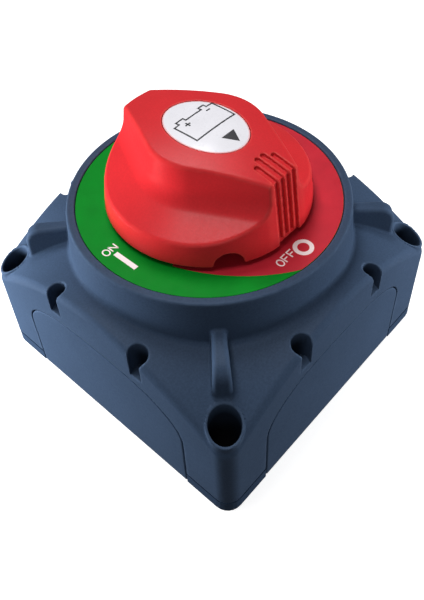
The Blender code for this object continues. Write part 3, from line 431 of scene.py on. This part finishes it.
def knob_field(x, y, z):
    """The red knob: a cone with a grip, thumb grooves, a sticker seat, a sight notch and a hub."""
    rho = np.hypot(x, y)
    end = end_face(y, z)
    crown = z - crown_z(x, y)
    knob = meet(rho - cone_reach(z), end, END_ROUND)
    knob = meet(knob, scoop(x, y, z), RIM_ROUND)
    knob = meet(knob, crown, GRIP_ROUND)
    knob = meet(knob, KNOB_BOTTOM - z, FOOT_ROUND)
    skin = -np.maximum(crown + GROOVE_DEPTH, end + GROOVE_DEPTH)
    for place in GROOVE_PLACES:
        start = GROOVE_START + GROOVE_ARC * place ** 2
        groove = np.hypot(np.abs(x) - place * GROOVE_PITCH, np.maximum(y + start, 0)) - GROOVE_HALF
        knob = carve(knob, np.maximum(groove, skin), GROOVE_ROUND)
    feet = np.maximum(np.abs(x) - GROOVE_PLACES[-1] * GROOVE_PITCH, z - FIN_BOTTOM_Z)
    knob = carve(knob, np.maximum(feet, -(end + GROOVE_DEPTH)))
    seat = np.maximum(sticker_oval(x, y, SEAT_MARGIN), -(crown + SEAT_DEPTH))
    knob = carve(knob, seat, SEAT_ROUND)
    outward = x * math.cos(NOTCH_ANGLE) + y * math.sin(NOTCH_ANGLE)
    sideways = y * math.cos(NOTCH_ANGLE) - x * math.sin(NOTCH_ANGLE)
    notch = np.maximum(np.hypot(sideways, z - KNOB_BOTTOM) - NOTCH_R, NOTCH_START - outward)
    knob = carve(knob, notch, NOTCH_ROUND)
    return carve(knob, knob_hollow(x, y, z))


# ------------------------------------------------------------------ surface nets

SETTLE_ROUNDS = 3
FLATTEST_SQUARED = 0.25
TINY = 1e-9


def spaced(low, high, step):
    """Evenly spaced grid lines that reach a little past both limits."""
    return np.arange(low - 1.5 * step, high + 2 * step, step)


def net_corners(axes, values, cells):
    """One point in each mixed cell: the mean of where the surface crosses its edges."""
    total = np.zeros((len(cells[0]), 3))
    count = np.zeros(len(cells[0]))
    for axis in range(3):
        others = [other for other in range(3) if other != axis]
        for shift in ((0, 0), (0, 1), (1, 0), (1, 1)):
            start = [cell.copy() for cell in cells]
            start[others[0]] += shift[0]
            start[others[1]] += shift[1]
            stop = [index.copy() for index in start]
            stop[axis] += 1
            here = values[tuple(start)]
            there = values[tuple(stop)]
            crossed = (here < 0) != (there < 0)
            share = np.where(crossed, here / np.where(crossed, here - there, 1), 0)
            point = np.stack([axes[i][start[i]] for i in range(3)], 1)
            point[:, axis] += share * (axes[axis][stop[axis]] - axes[axis][start[axis]])
            total[crossed] += point[crossed]
            count[crossed] += 1
    return total / count[:, None]


def net_faces(values, index):
    """A quad round every grid edge that the surface crosses, facing outwards."""
    inside = values < 0
    quads = []
    for axis in range(3):
        a, b = (axis + 1) % 3, (axis + 2) % 3
        low = [slice(1, -1)] * 3
        low[axis] = slice(0, -1)
        high = list(low)
        high[axis] = slice(1, None)
        here = inside[tuple(low)]
        there = inside[tuple(high)]
        crossed = np.array(np.nonzero(here != there))
        leaving = here[tuple(crossed)]
        crossed[a] += 1
        crossed[b] += 1
        corners = []
        for step_a, step_b in ((-1, -1), (0, -1), (0, 0), (-1, 0)):
            cell = crossed.copy()
            cell[a] += step_a
            cell[b] += step_b
            corners.append(index[tuple(cell)])
        quad = np.stack(corners, 1)
        quad[~leaving] = quad[~leaving][:, ::-1]
        quads.append(quad)
    return np.concatenate(quads)


def gradient(field, points, reach=0.02):
    """Slope of a field at points, from its values a little ahead and behind."""
    slope = np.zeros_like(points)
    for axis in range(3):
        offset = np.zeros(3)
        offset[axis] = reach
        ahead = points + offset
        behind = points - offset
        slope[:, axis] = (field(*ahead.T) - field(*behind.T)) / (2 * reach)
    return slope


def settle(field, points, limit):
    """Move points onto the field's surface, each round by no more than the limit."""
    for _ in range(SETTLE_ROUNDS):
        slope = gradient(field, points)
        size = np.maximum((slope ** 2).sum(1), FLATTEST_SQUARED)
        step = -(field(*points.T) / size)[:, None] * slope
        length = np.maximum(np.linalg.norm(step, axis=1, keepdims=True), TINY)
        points = points + step * np.minimum(1, limit / length)
    return points


def convexity(field, points, reach=0.35):
    """How sharply the surface bends: positive on edges, negative in corners."""
    total = -6 * field(*points.T)
    for axis in range(3):
        offset = np.zeros(3)
        offset[axis] = reach
        total += field(*(points + offset).T) + field(*(points - offset).T)
    return np.clip(total / reach, -1, 1)


def new_mesh(name, points, faces):
    """A mesh from arrays of points in millimetres and of equal faces."""
    mesh = bpy.data.meshes.new(name)
    corners = faces.shape[1]
    mesh.vertices.add(len(points))
    mesh.vertices.foreach_set("co", (points * MM).astype(np.float32).ravel())
    mesh.loops.add(faces.size)
    mesh.loops.foreach_set("vertex_index", faces.astype(np.int32).ravel())
    mesh.polygons.add(len(faces))
    mesh.polygons.foreach_set("loop_start", np.arange(0, faces.size, corners, dtype=np.int32))
    mesh.update(calc_edges=True)
    mesh.validate()
    return mesh


def add_object(name, mesh):
    """Link a mesh as an object at the origin."""
    item = bpy.data.objects.new(name, mesh)
    bpy.context.scene.collection.objects.link(item)
    return item


def mesh_points(mesh):
    """A mesh's points in millimetres."""
    flat = np.zeros(len(mesh.vertices) * 3, np.float32)
    mesh.vertices.foreach_get("co", flat)
    return flat.reshape(-1, 3).astype(float) / MM


def moulded(name, field, low, high, step, keep=1.0, envelope=None):
    """Skin a distance field between two corners as a smooth-shaded object.

    keep is the share of faces that stays after thinning. Where an envelope is given, each
    point also stores how deep it lies inside that outer shape, which paints shade into the holes.
    """
    axes = [spaced(low[axis], high[axis], step) for axis in range(3)]
    grid = np.meshgrid(*[axis.astype(np.float32) for axis in axes], indexing="ij")
    values = field(*grid).astype(np.float32)
    inside = (values < 0).astype(np.int8)
    filled = sum(inside[i:i + inside.shape[0] - 1, j:j + inside.shape[1] - 1, k:k + inside.shape[2] - 1]
                 for i in (0, 1) for j in (0, 1) for k in (0, 1))
    mixed = (filled > 0) & (filled < 8)
    index = np.full(mixed.shape, -1, np.int64)
    index[mixed] = np.arange(mixed.sum())
    points = net_corners(axes, values, list(np.nonzero(mixed)))
    points = settle(field, points, step / 2)
    item = add_object(name, new_mesh(name, points, net_faces(values, index)))
    if keep < 1:
        thin = item.modifiers.new("thin", "DECIMATE")
        thin.ratio = keep
        depsgraph = bpy.context.evaluated_depsgraph_get()
        item.data = bpy.data.meshes.new_from_object(item.evaluated_get(depsgraph))
        item.modifiers.clear()
        points = mesh_points(item.data)
    points = np.clip(points, np.array(low), np.array(high))
    item.data.vertices.foreach_set("co", (points * MM).astype(np.float32).ravel())
    finish_skin(item, field, points)
    # The stored depth is used to paint shade into the housing's holes.
    if envelope:
        buried = item.data.attributes.new("buried", "FLOAT", "POINT")
        buried.data.foreach_set("value", -envelope(*points.T).astype(np.float32))
    return item


def finish_skin(item, field, points):
    """Store each point's convexity on the mesh, for edge rubbing and a painted edge highlight, and shade
    it with the field's own normals.
    """
    mesh = item.data
    edge_wear_and_highlight = mesh.attributes.new("edge", "FLOAT", "POINT")
    edge_wear_and_highlight.data.foreach_set("value", convexity(field, points).astype(np.float32))
    mesh.shade_smooth()
    normals = gradient(field, points)
    normals /= np.maximum(np.linalg.norm(normals, axis=1, keepdims=True), TINY)
    mesh.normals_split_custom_set_from_vertices(normals)


# ------------------------------------------------------------------ plain meshes

SHARPEST_MITRE = 0.3


def lofted(name, loops):
    """Skin equal loops of points and cap both ends."""
    count = len(loops[0])
    faces = []
    for row in range(len(loops) - 1):
        for column in range(count):
            after = (column + 1) % count
            faces.append((row * count + column, row * count + after,
                          (row + 1) * count + after, (row + 1) * count + column))
    faces.append(tuple(range(count - 1, -1, -1)))
    faces.append(tuple(range((len(loops) - 1) * count, len(loops) * count)))
    mesh = bpy.data.meshes.new(name)
    mesh.from_pydata([Vector(point) * MM for loop in loops for point in loop], [], faces)
    return add_object(name, mesh)


def patch(name, lines, bottom, top, closed=False):
    """A thin sheet between equal plan lines, closed where they are loops.

    Its two heights are numbers or functions of (x, y).
    """
    count = len(lines[0])
    across = len(lines)
    points = []
    for height in (bottom, top):
        for line in lines:
            for x, y in line:
                z = height(x, y) if callable(height) else height
                points.append(Vector((x, y, z)) * MM)
    above = across * count
    faces = []
    for step in range(count if closed else count - 1):
        after = (step + 1) % count
        for row in range(across - 1):
            near, far = row * count, (row + 1) * count
            faces.append((near + step, near + after, far + after, far + step))
            faces.append((above + near + step, above + far + step, above + far + after,
                          above + near + after))
        for row in (0, (across - 1) * count):
            faces.append((row + step, row + after, above + row + after, above + row + step))
    if not closed:
        for step in (0, count - 1):
            for row in range(across - 1):
                near, far = row * count + step, (row + 1) * count + step
                faces.append((near, far, above + far, above + near))
    mesh = bpy.data.meshes.new(name)
    mesh.from_pydata(points, [], faces)
    return mesh_from_all([mesh], name)


def mesh_from_all(meshes, name):
    """One object from several meshes, with outward normals."""
    shape = bmesh.new()
    for mesh in meshes:
        shape.from_mesh(mesh)
    bmesh.ops.recalc_face_normals(shape, faces=shape.faces)
    joined = bpy.data.meshes.new(name)
    shape.to_mesh(joined)
    shape.free()
    return add_object(name, joined)


def offset_line(points, width, closed):
    """Two lines on either side of a stroke's points, mitred at its bends."""
    left, right = [], []
    count = len(points)
    for i, point in enumerate(points):
        here = Vector(point)
        before = Vector(points[i - 1]) if i or closed else here
        after = Vector(points[(i + 1) % count]) if i < count - 1 or closed else here
        ahead = (after - here).normalized() if after != here else (here - before).normalized()
        behind = (here - before).normalized() if before != here else ahead
        across = Vector((-(ahead + behind).y, (ahead + behind).x)).normalized()
        square = Vector((-ahead.y, ahead.x))
        reach = width / 2 / max(across.dot(square), SHARPEST_MITRE)
        left.append(tuple(here + across * reach))
        right.append(tuple(here - across * reach))
    return left, right


def ink_strokes(name, strokes, width, bottom, top):
    """Printed strokes: each is (points, closed)."""
    meshes = []
    for points, closed in strokes:
        left, right = offset_line(points, width, closed)
        item = patch("stroke", [left, right], bottom, top, closed)
        meshes.append(item.data)
        bpy.data.objects.remove(item)
    return mesh_from_all(meshes, name)


def oval(centre, half_x, half_y, steps=40):
    """Points round an oval."""
    return [(centre[0] + half_x * math.cos(2 * math.pi * step / steps),
             centre[1] + half_y * math.sin(2 * math.pi * step / steps)) for step in range(steps)]


# --------------------------------------------------------------------- materials

class Look:
    """A node-based Principled material, read from the object's own coordinates."""

    def __init__(self, name, metallic=0.0, specular=0.5):
        self.material = bpy.data.materials.new(name)
        self.material.use_nodes = True
        self.tree = self.material.node_tree
        self.shader = self.tree.nodes["Principled BSDF"]
        self.shader.inputs["Metallic"].default_value = metallic
        self.shader.inputs["Specular IOR Level"].default_value = specular
        self.place = self.tree.nodes.new("ShaderNodeTexCoord").outputs["Object"]

    def link(self, source, target):
        self.tree.links.new(source, target)

    def noise(self, size, detail=3.0, rough=0.5, stretch=None):
        """Noise whose blotches are about size millimetres across."""
        node = self.tree.nodes.new("ShaderNodeTexNoise")
        node.inputs["Scale"].default_value = 1 / (size * MM)
        node.inputs["Detail"].default_value = detail
        node.inputs["Roughness"].default_value = rough
        if stretch:
            mapping = self.tree.nodes.new("ShaderNodeMapping")
            mapping.inputs["Scale"].default_value = stretch
            self.link(self.place, mapping.inputs["Vector"])
            self.link(mapping.outputs[0], node.inputs["Vector"])
        else:
            self.link(self.place, node.inputs["Vector"])
        return node.outputs[0]

    def span(self, source, low, high, to_low, to_high):
        """Map one range of a value to another, clamped."""
        node = self.tree.nodes.new("ShaderNodeMapRange")
        for socket, value in zip(node.inputs[1:5], (low, high, to_low, to_high)):
            socket.default_value = value
        self.link(source, node.inputs[0])
        return node.outputs[0]

    def product(self, a, b):
        node = self.tree.nodes.new("ShaderNodeMath")
        node.operation = "MULTIPLY"
        self.link(a, node.inputs[0])
        self.link(b, node.inputs[1])
        return node.outputs[0]

    def blend(self, factor, a, b):
        """Mix two colours; each is a tuple or a socket."""
        node = self.tree.nodes.new("ShaderNodeMix")
        node.data_type = "RGBA"
        self.link(factor, node.inputs[0])
        for socket, value in ((node.inputs[6], a), (node.inputs[7], b)):
            if isinstance(value, tuple):
                socket.default_value = (*value, 1)
            else:
                self.link(value, socket)
        return node.outputs[2]

    def colour(self, source):
        self.link(source, self.shader.inputs["Base Color"])

    def roughness(self, source):
        self.link(source, self.shader.inputs["Roughness"])

    def bump(self, source, height):
        """Give the surface relief of a height in millimetres."""
        node = self.tree.nodes.new("ShaderNodeBump")
        node.inputs["Distance"].default_value = height * MM
        self.link(source, node.inputs["Height"])
        self.link(node.outputs[0], self.shader.inputs["Normal"])

    def edges(self, low, high):
        """A mask that is 1 on convex edges, which are rubbed lighter and also carry a painted highlight.
        """
        node = self.tree.nodes.new("ShaderNodeAttribute")
        node.attribute_name = "edge"
        return self.span(node.outputs["Fac"], low, high, 0, 1)

    def painted_hole_shade(self, low, high):
        """A mask for painted shade: 1 deep inside holes, where the colour is darkened as if unlit; low and
        high are depths in millimetres.
        """
        node = self.tree.nodes.new("ShaderNodeAttribute")
        node.attribute_name = "buried"
        return self.span(node.outputs["Fac"], low, high, 0, 1)


def shaded(colour, factor):
    """A colour made darker or lighter."""
    return tuple(min(channel * factor, 1) for channel in colour)


def plastic(name, colour, rough, grain=0.25, relief=0.01, wear_and_highlight=None, mottle=0.12, specular=0.35,
            speckle=0.2, holes=False):
    """Moulded plastic: spark-eroded grain, faint mottling and specks, lighter edges that are partly
    rubbing and partly a painted highlight.

    grain and relief are the bumps' width and height in millimetres; the edge colour is lighter, for rubbed
    edges and a painted highlight on them;
    and holes paints shade inside holes, darker with the stored depth.
    """
    look = Look(name, specular=specular)
    cloud = look.span(look.noise(9.0, 4), 0.3, 0.7, 0, 1)
    base = look.blend(cloud, shaded(colour, 1 - mottle), shaded(colour, 1 + mottle))
    speck = look.span(look.noise(0.4, 3, 0.7), 0.35, 0.65, 0, speckle)
    base = look.blend(speck, base, shaded(colour, 0.55))
    # Convex edges are lightened: partly rubbing, partly a painted highlight.
    rub_and_highlight = look.product(look.edges(0.15, 0.9), look.span(look.noise(1.6, 5, 0.65), 0.35, 0.65, 0.2, 0.7))
    base = look.blend(rub_and_highlight, base, wear_and_highlight or shaded(colour, 1.5))
    if holes:
        # Painted shade: deep inside holes the colour is darkened nearly to black, as if no light reached
        # there.
        base = look.blend(look.painted_hole_shade(0.6, 3.0), base, shaded(colour, 0.2))
    look.colour(base)
    look.roughness(look.span(look.noise(0.8, 4), 0.3, 0.7, rough - 0.03, rough + 0.03))
    look.bump(look.noise(grain, 3, 0.6), relief)
    return look


def metal(name, colour, rough, stretch, scratches=0.5):
    """Metal with fine lines along one direction and faint staining."""
    look = Look(name, 1.0)
    stain = look.span(look.noise(4.0, 5, 0.6), 0.3, 0.7, 0, 1)
    look.colour(look.blend(stain, shaded(colour, 0.82), colour))
    lines = look.noise(scratches, 4, 0.7, stretch)
    look.roughness(look.span(lines, 0.3, 0.7, rough - 0.08, rough + 0.12))
    look.bump(lines, 0.008)
    return look


def printed(name, colour, rough, variation=0.08, coat=0.0, specular=0.3):
    """Ink or film: even colour with slight unevenness and a soft gloss."""
    look = Look(name, specular=specular)
    cloud = look.span(look.noise(5.0, 3), 0.3, 0.7, 0, 1)
    base = look.blend(cloud, shaded(colour, 1 - variation), shaded(colour, 1 + variation))
    dots = look.span(look.noise(0.3, 2), 0.5, 0.8, 0, 0.25)
    look.colour(look.blend(dots, base, shaded(colour, 0.8)))
    look.roughness(look.span(look.noise(2.0, 3), 0.3, 0.7, rough - 0.05, rough + 0.05))
    look.bump(look.noise(0.5, 3), 0.004)
    look.shader.inputs["Coat Weight"].default_value = coat
    look.shader.inputs["Coat Roughness"].default_value = 0.15
    return look


HOUSING_BLUE = (0.042, 0.069, 0.122)
# Each lighter edge colour in these looks stands for rubbing and also paints a highlight on convex edges.
LOOKS = {
    # The housing paints shade into its holes, darker the deeper they go.
    "housing": plastic("housing_plastic", HOUSING_BLUE, 0.5, wear_and_highlight=(0.066, 0.102, 0.168), mottle=0.05,
                       specular=0.06, speckle=0.4, holes=True),
    "panel": plastic("panel_plastic", (0.042, 0.069, 0.122), 0.52, wear_and_highlight=(0.050, 0.080, 0.135), mottle=0.05,
                     specular=0.06, speckle=0.4),
    # Painted shade: the base plate is coloured darker than the housing so that it reads as the shadow gap
    # under the walls.
    "base": plastic("base_plastic", (0.030, 0.052, 0.096), 0.6, mottle=0.05, specular=0.06),
    "knob": plastic("knob_plastic", (0.64, 0.025, 0.031), 0.35, grain=0.3, relief=0.016,
                    wear_and_highlight=(0.74, 0.07, 0.06), mottle=0.05, specular=0.16),
    "green": printed("dial_green", (0.002, 0.225, 0.017), 0.45, specular=0.04),
    "red": printed("dial_red", (0.50, 0.018, 0.034), 0.42, specular=0.15),
    "marks": printed("dial_marks", (0.90, 0.80, 0.80), 0.4, 0.03),
    "film": printed("sticker_white", (0.80, 0.79, 0.84), 0.3, 0.03, coat=0.4),
    "rim": printed("sticker_rim", (0.85, 0.50, 0.52), 0.35, 0.05, coat=0.3),
    "ink": printed("sticker_ink", (0.030, 0.030, 0.036), 0.42, 0.1),
    "nylon": plastic("nylon_black", (0.016, 0.016, 0.018), 0.45, 0.2),
    "natural": plastic("nylon_natural", (0.46, 0.42, 0.34), 0.5, 0.3),
    "rubber": plastic("nitrile_rubber", (0.012, 0.012, 0.012), 0.75, 0.15, 0.006),
    "block": plastic("thermoset_brown", (0.085, 0.028, 0.016), 0.5, 0.3),
    "board": plastic("barrier_board", (0.48, 0.44, 0.36), 0.6, 0.4, 0.015),
    "copper": metal("bare_copper", (0.86, 0.42, 0.27), 0.3, (1, 0.08, 1)),
    "tin": metal("tinned_copper", (0.72, 0.70, 0.66), 0.32, (1, 1, 0.1)),
    "steel": metal("stainless_steel", (0.62, 0.62, 0.63), 0.3, (1, 1, 0.08)),
    "spring": metal("spring_steel", (0.46, 0.46, 0.48), 0.28, (0.1, 0.1, 1)),
}
NODE_LOOKS = (
    ("base_plate", "base"), ("contact_block", "block"), ("terminal_barrier", "board"),
    ("stud_", "tin"), ("flat_washer_", "steel"), ("spring_washer_", "spring"), ("hex_nut_", "steel"),
    ("detent_spring_", "spring"), ("block_screw_", "steel"), ("base_screw_", "steel"),
    ("knob_screw", "steel"), ("spindle", "nylon"), ("shaft_seal", "rubber"),
    ("retaining_ring", "spring"), ("rotor_carrier", "natural"), ("contact_bridge", "copper"),
    ("contact_spring", "spring"),
)


def dress(item, look, body=None, stands_for=()):
    """Give a piece its material, attach it to the body it rides on, and hide the CAD parts that it stands
    for.
    """
    item.data.materials.clear()
    item.data.materials.append(LOOKS[look].material)
    if body:
        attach(item, body)
    if stands_for:
        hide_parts(*stands_for)
    return item


def dress_nodes():
    """Materials for the CAD nodes that are shown as they are."""
    for name, item in NODES.items():
        for stem, look in NODE_LOOKS:
            if name.startswith(stem):
                item.material_slots[0].material = LOOKS[look].material


# ------------------------------------------------------------------------ pieces

def build_housing():
    """The housing, skinned from its field."""
    housing = moulded("housing_shell", housing_field, HOUSING_LOW, HOUSING_HIGH, HOUSING_GRID,
                      HOUSING_KEEP, housing_envelope)
    dress(housing, "housing", "body", ["housing"])


def build_panels():
    """The front cable panel and its three turned copies."""
    front = moulded("cable_panel_front", panel_field, PANEL_LOW, PANEL_HIGH, PANEL_GRID)
    for quarter, side in enumerate(("front", "left", "back", "right")):
        panel = front
        if quarter:
            panel = add_object("cable_panel_" + side, front.data.copy())
            panel.rotation_euler = (0, 0, -quarter * math.pi / 2)
        dress(panel, "panel", side + "_panel", ["panel_" + side])


def build_knob():
    """The knob, skinned from its field."""
    knob = moulded("knob_grip", knob_field, KNOB_LOW, KNOB_HIGH, KNOB_GRID)
    dress(knob, "knob", "rotor", ["knob"])


def ring_band(name, inner, outer, bottom, top, steps=240):
    """A closed flat ring."""
    return patch(name, [oval((0, 0), inner, inner, steps), oval((0, 0), outer, outer, steps)],
                 bottom, top, closed=True)


def swirl_reach(angle):
    """Distance from the axis to the swirl's arc along a plan angle."""
    ray = Vector((math.cos(angle), math.sin(angle)))
    along = ray.dot(SWIRL_CENTRE)
    return along + math.sqrt(along ** 2 + SWIRL_R ** 2 - SWIRL_CENTRE.length_squared)


def build_dial():
    """Green dial disc with the red field and the white marks printed on it."""
    disc = ring_band("dial_disc", DIAL_BORE_R, LABEL_R, LABEL_LOW.z, LABEL_TOP)
    dress(disc, "green", "body", ["label_disc"])
    edge = LABEL_R - RED_INSET
    inner, outer = [], []
    for step in range(SWIRL_STEPS + 1):
        angle = SWIRL_TAIL + SWIRL_SPAN * step / SWIRL_STEPS
        past_tail = angle - SWIRL_TAIL > math.pi
        near = swirl_reach(angle - math.pi) if past_tail else RED_BORE_R
        far = edge if past_tail else min(edge, swirl_reach(angle))
        near = min(near, far - 0.01)
        inner.append((near * math.cos(angle), near * math.sin(angle)))
        outer.append((far * math.cos(angle), far * math.sin(angle)))
    field = patch("dial_red_field", [inner, outer], LABEL_TOP, LABEL_TOP + DIAL_INK)
    dress(field, "red", "body")
    top = LABEL_TOP + 2 * DIAL_INK
    bar = patch("mark_on_bar", [[(x, y) for y in BAR_Y] for x in BAR_X], LABEL_TOP, top)
    dress(bar, "marks", "body")
    ring = patch("mark_off_ring", [oval(RING_AT, radius, radius) for radius in (RING_IN, RING_OUT)],
                 LABEL_TOP, top, closed=True)
    dress(ring, "marks", "body")
    for name, word, left, foot, wide in DIAL_WORDS:
        strokes = []
        for place, letter in enumerate(word):
            start = left + place * (wide + LETTER_GAP)
            strokes += letter_strokes(letter, start, foot, wide, LETTER_TALL)
        words = ink_strokes(name, strokes, WORD_STROKE, LABEL_TOP, top)
        dress(words, "marks", "body")


def letter_strokes(letter, x, y, wide, tall):
    """The strokes of an O, an N or an F in a box."""
    right, top, middle = x + wide, y + tall, y + tall * F_ARM_SHARE
    if letter == "O":
        return [(oval((x + wide / 2, y + tall / 2), wide / 2, tall / 2), True)]
    if letter == "N":
        return [([(x, y), (x, top)], False), ([(x, top), (right, y)], False),
                ([(right, y), (right, top)], False)]
    return [([(x, y), (x, top), (right, top)], False), ([(x, middle), (right - F_ARM_CUT, middle)], False)]


def film_z(x, y):
    """Height of the sticker's face."""
    return crown_z(x, y) - STICKER_SINK


def oval_disc(name, shrink, bottom, top, steps=96, rings=10):
    """An oval sheet laid on the crown, from rings of quads round a middle point."""
    points, faces = [], []
    for height in (bottom, top):
        base = len(points)
        points.append(Vector((0, 0, film_z(0, 0) + height)) * MM)
        for ring in range(1, rings + 1):
            share = ring / rings
            for x, y in oval((0, 0), (STICKER_HALF_X - shrink) * share,
                             (STICKER_HALF_Y - shrink) * share, steps):
                points.append(Vector((x, y, film_z(x, y) + height)) * MM)
        for step in range(steps):
            after = (step + 1) % steps
            faces.append((base, base + 1 + step, base + 1 + after))
            for ring in range(rings - 1):
                inner = base + 1 + ring * steps
                outer = inner + steps
                faces.append((inner + step, outer + step, outer + after, inner + after))
    per_side = 1 + rings * steps
    rim = 1 + (rings - 1) * steps
    for step in range(steps):
        after = (step + 1) % steps
        faces.append((rim + step, rim + after, per_side + rim + after, per_side + rim + step))
    mesh = bpy.data.meshes.new(name)
    mesh.from_pydata(points, [], faces)
    item = mesh_from_all([mesh], name)
    item.data.shade_smooth()
    item.data.set_sharp_from_angle(angle=math.radians(40))
    return item


def battery_outline():
    """Closely spaced points round the battery: a box with two terminal posts on top."""
    outline = [(BATTERY_X[0], BATTERY_Y[0]), (BATTERY_X[1], BATTERY_Y[0]), (BATTERY_X[1], BATTERY_Y[1])]
    for far, near in (RIGHT_POST_X, LEFT_POST_X):
        outline += [(near, BATTERY_Y[1]), (near, POST_TOP_Y), (far, POST_TOP_Y), (far, BATTERY_Y[1])]
    outline.append((BATTERY_X[0], BATTERY_Y[1]))
    dense = []
    for start, end in zip(outline, outline[1:] + outline[:1]):
        steps = max(1, round(math.dist(start, end) / STROKE_STEP))
        dense += [tuple(Vector(start).lerp(Vector(end), step / steps)) for step in range(steps)]
    return dense


def build_sticker():
    """White oval sticker with a plain battery pictogram and a pointer."""
    film = oval_disc("sticker_film", STICKER_BORDER, -STICKER_DEPTH, 0.0)
    dress(film, "film", "rotor", ["knob_label"])
    rim = oval_disc("sticker_border", 0.0, -STICKER_DEPTH, -BORDER_DROP)
    dress(rim, "rim", "rotor")

    def low(x, y):
        return film_z(x, y) - INK_SINK

    def high(x, y):
        return film_z(x, y) + INK

    strokes = [(battery_outline(), True)] + [(line, False) for line in PLUS_MINUS]
    drawing = ink_strokes("sticker_battery", strokes, BATTERY_STROKE, low, high)
    dress(drawing, "ink", "rotor")
    lines = []
    for row in range(POINTER_ROWS + 1):
        start, end = [corner.lerp(POINTER_TIP, row / POINTER_REACH) for corner in POINTER_BASE]
        lines.append([tuple(start.lerp(end, step / POINTER_ROWS)) for step in range(POINTER_ROWS + 1)])
    pointer = patch("sticker_pointer", lines, low, high)
    dress(pointer, "ink", "rotor")


# ------------------------------------------------------------- camera and lights

CAMERA_AT = Vector((-78.89, -76.276, 145.317))
CAMERA_AZIMUTH = math.radians(-46.007)
CAMERA_ELEVATION = math.radians(44.546)
CAMERA_ROLL = math.radians(-2.885)
CAMERA_LENS = 43.9904
CAMERA_SHIFT = (0.003, -0.1468)
NEAREST_SEEN = 0.005
LIGHTS_AIM_AT = Vector((0, 0, 0.03))
AMBIENT = 0.12
FLOOR_HALF = 2000.0
FLOOR_TOP_Z = -0.02
FLOOR_BOTTOM_Z = -12.0
FLOOR_GLOW = 0.78


def build_camera():
    """The camera looks down on the OFF corner of the dial."""
    back = Vector((math.sin(CAMERA_AZIMUTH) * math.cos(CAMERA_ELEVATION),
                   -math.cos(CAMERA_AZIMUTH) * math.cos(CAMERA_ELEVATION),
                   math.sin(CAMERA_ELEVATION)))
    right = (-back).cross(Vector((0, 0, 1))).normalized()
    up = back.cross(right)
    turn = Matrix((right, up, back)).transposed() @ Matrix.Rotation(CAMERA_ROLL, 3, "Z")
    data = bpy.data.cameras.new("camera")
    data.lens = CAMERA_LENS
    data.sensor_width = 36.0
    data.shift_x, data.shift_y = CAMERA_SHIFT
    data.clip_start = NEAREST_SEEN
    camera = bpy.data.objects.new("camera", data)
    camera.matrix_world = Matrix.Translation(CAMERA_AT * MM) @ turn.to_4x4()
    bpy.context.scene.collection.objects.link(camera)
    bpy.context.scene.camera = camera


def area_light(name, azimuth, elevation, distance, size, power, glossy=True):
    """A soft square light aimed at the part; without glossy it shows in no reflection.

    Angles are in degrees, distance and size in metres, power in watts.
    """
    data = bpy.data.lights.new(name, "AREA")
    data.size = size
    data.energy = power
    light = bpy.data.objects.new(name, data)
    a, e = math.radians(azimuth), math.radians(elevation)
    out = Vector((math.sin(a) * math.cos(e), -math.cos(a) * math.cos(e), math.sin(e)))
    light.location = LIGHTS_AIM_AT + out * distance
    light.rotation_mode = "QUATERNION"
    light.rotation_quaternion = out.to_track_quat("Z", "Y")
    light.visible_camera = False
    light.visible_glossy = glossy
    bpy.context.scene.collection.objects.link(light)


def build_backdrop():
    """Surroundings that the camera sees as white, and that light the part only faintly."""
    world = bpy.data.worlds.new("studio")
    world.use_nodes = True
    tree = world.node_tree
    backdrop = tree.nodes["Background"]
    backdrop.inputs["Color"].default_value = (1.0, 1.0, 1.0, 1)
    seen = tree.nodes.new("ShaderNodeLightPath").outputs["Is Camera Ray"]
    strength = tree.nodes.new("ShaderNodeMapRange")
    strength.inputs["To Min"].default_value = AMBIENT
    tree.links.new(seen, strength.inputs["Value"])
    tree.links.new(strength.outputs["Result"], backdrop.inputs["Strength"])
    bpy.context.scene.world = world
    bpy.context.scene.view_settings.view_transform = "Standard"


def build_floor():
    """A pale floor, kept out of reflections and of the light that bounces on the part."""
    corners = [(-FLOOR_HALF, -FLOOR_HALF), (FLOOR_HALF, -FLOOR_HALF),
               (FLOOR_HALF, FLOOR_HALF), (-FLOOR_HALF, FLOOR_HALF)]
    floor = lofted("floor", [[(x, y, z) for x, y in corners] for z in (FLOOR_BOTTOM_Z, FLOOR_TOP_Z)])
    look = Look("floor_white")
    haze = look.span(look.noise(60.0, 3), 0.3, 0.7, 0, 1)
    look.colour(look.blend(haze, (0.58, 0.58, 0.58), (0.62, 0.62, 0.62)))
    look.shader.inputs["Roughness"].default_value = 0.8
    look.shader.inputs["Emission Color"].default_value = (1.0, 1.0, 1.0, 1)
    look.shader.inputs["Emission Strength"].default_value = FLOOR_GLOW
    floor.data.materials.append(look.material)
    floor.visible_diffuse = False
    floor.visible_glossy = False


def build_studio():
    """The backdrop, the lights and the floor."""
    build_backdrop()
    area_light("main", azimuth=152, elevation=64, distance=0.6, size=0.25, power=2.2)
    area_light("overhead", azimuth=-125, elevation=79, distance=0.6, size=0.16, power=1.25)
    area_light("key", azimuth=-133, elevation=-8, distance=0.12, size=0.06, power=0.37, glossy=False)
    area_light("fill", azimuth=38, elevation=-6, distance=0.14, size=0.06, power=0.23, glossy=False)
    area_light("front", azimuth=-46, elevation=24, distance=0.5, size=0.2, power=0.23)
    build_floor()


build_camera()
build_studio()
dress_nodes()
build_housing()
build_panels()
build_knob()
build_dial()
build_sticker()
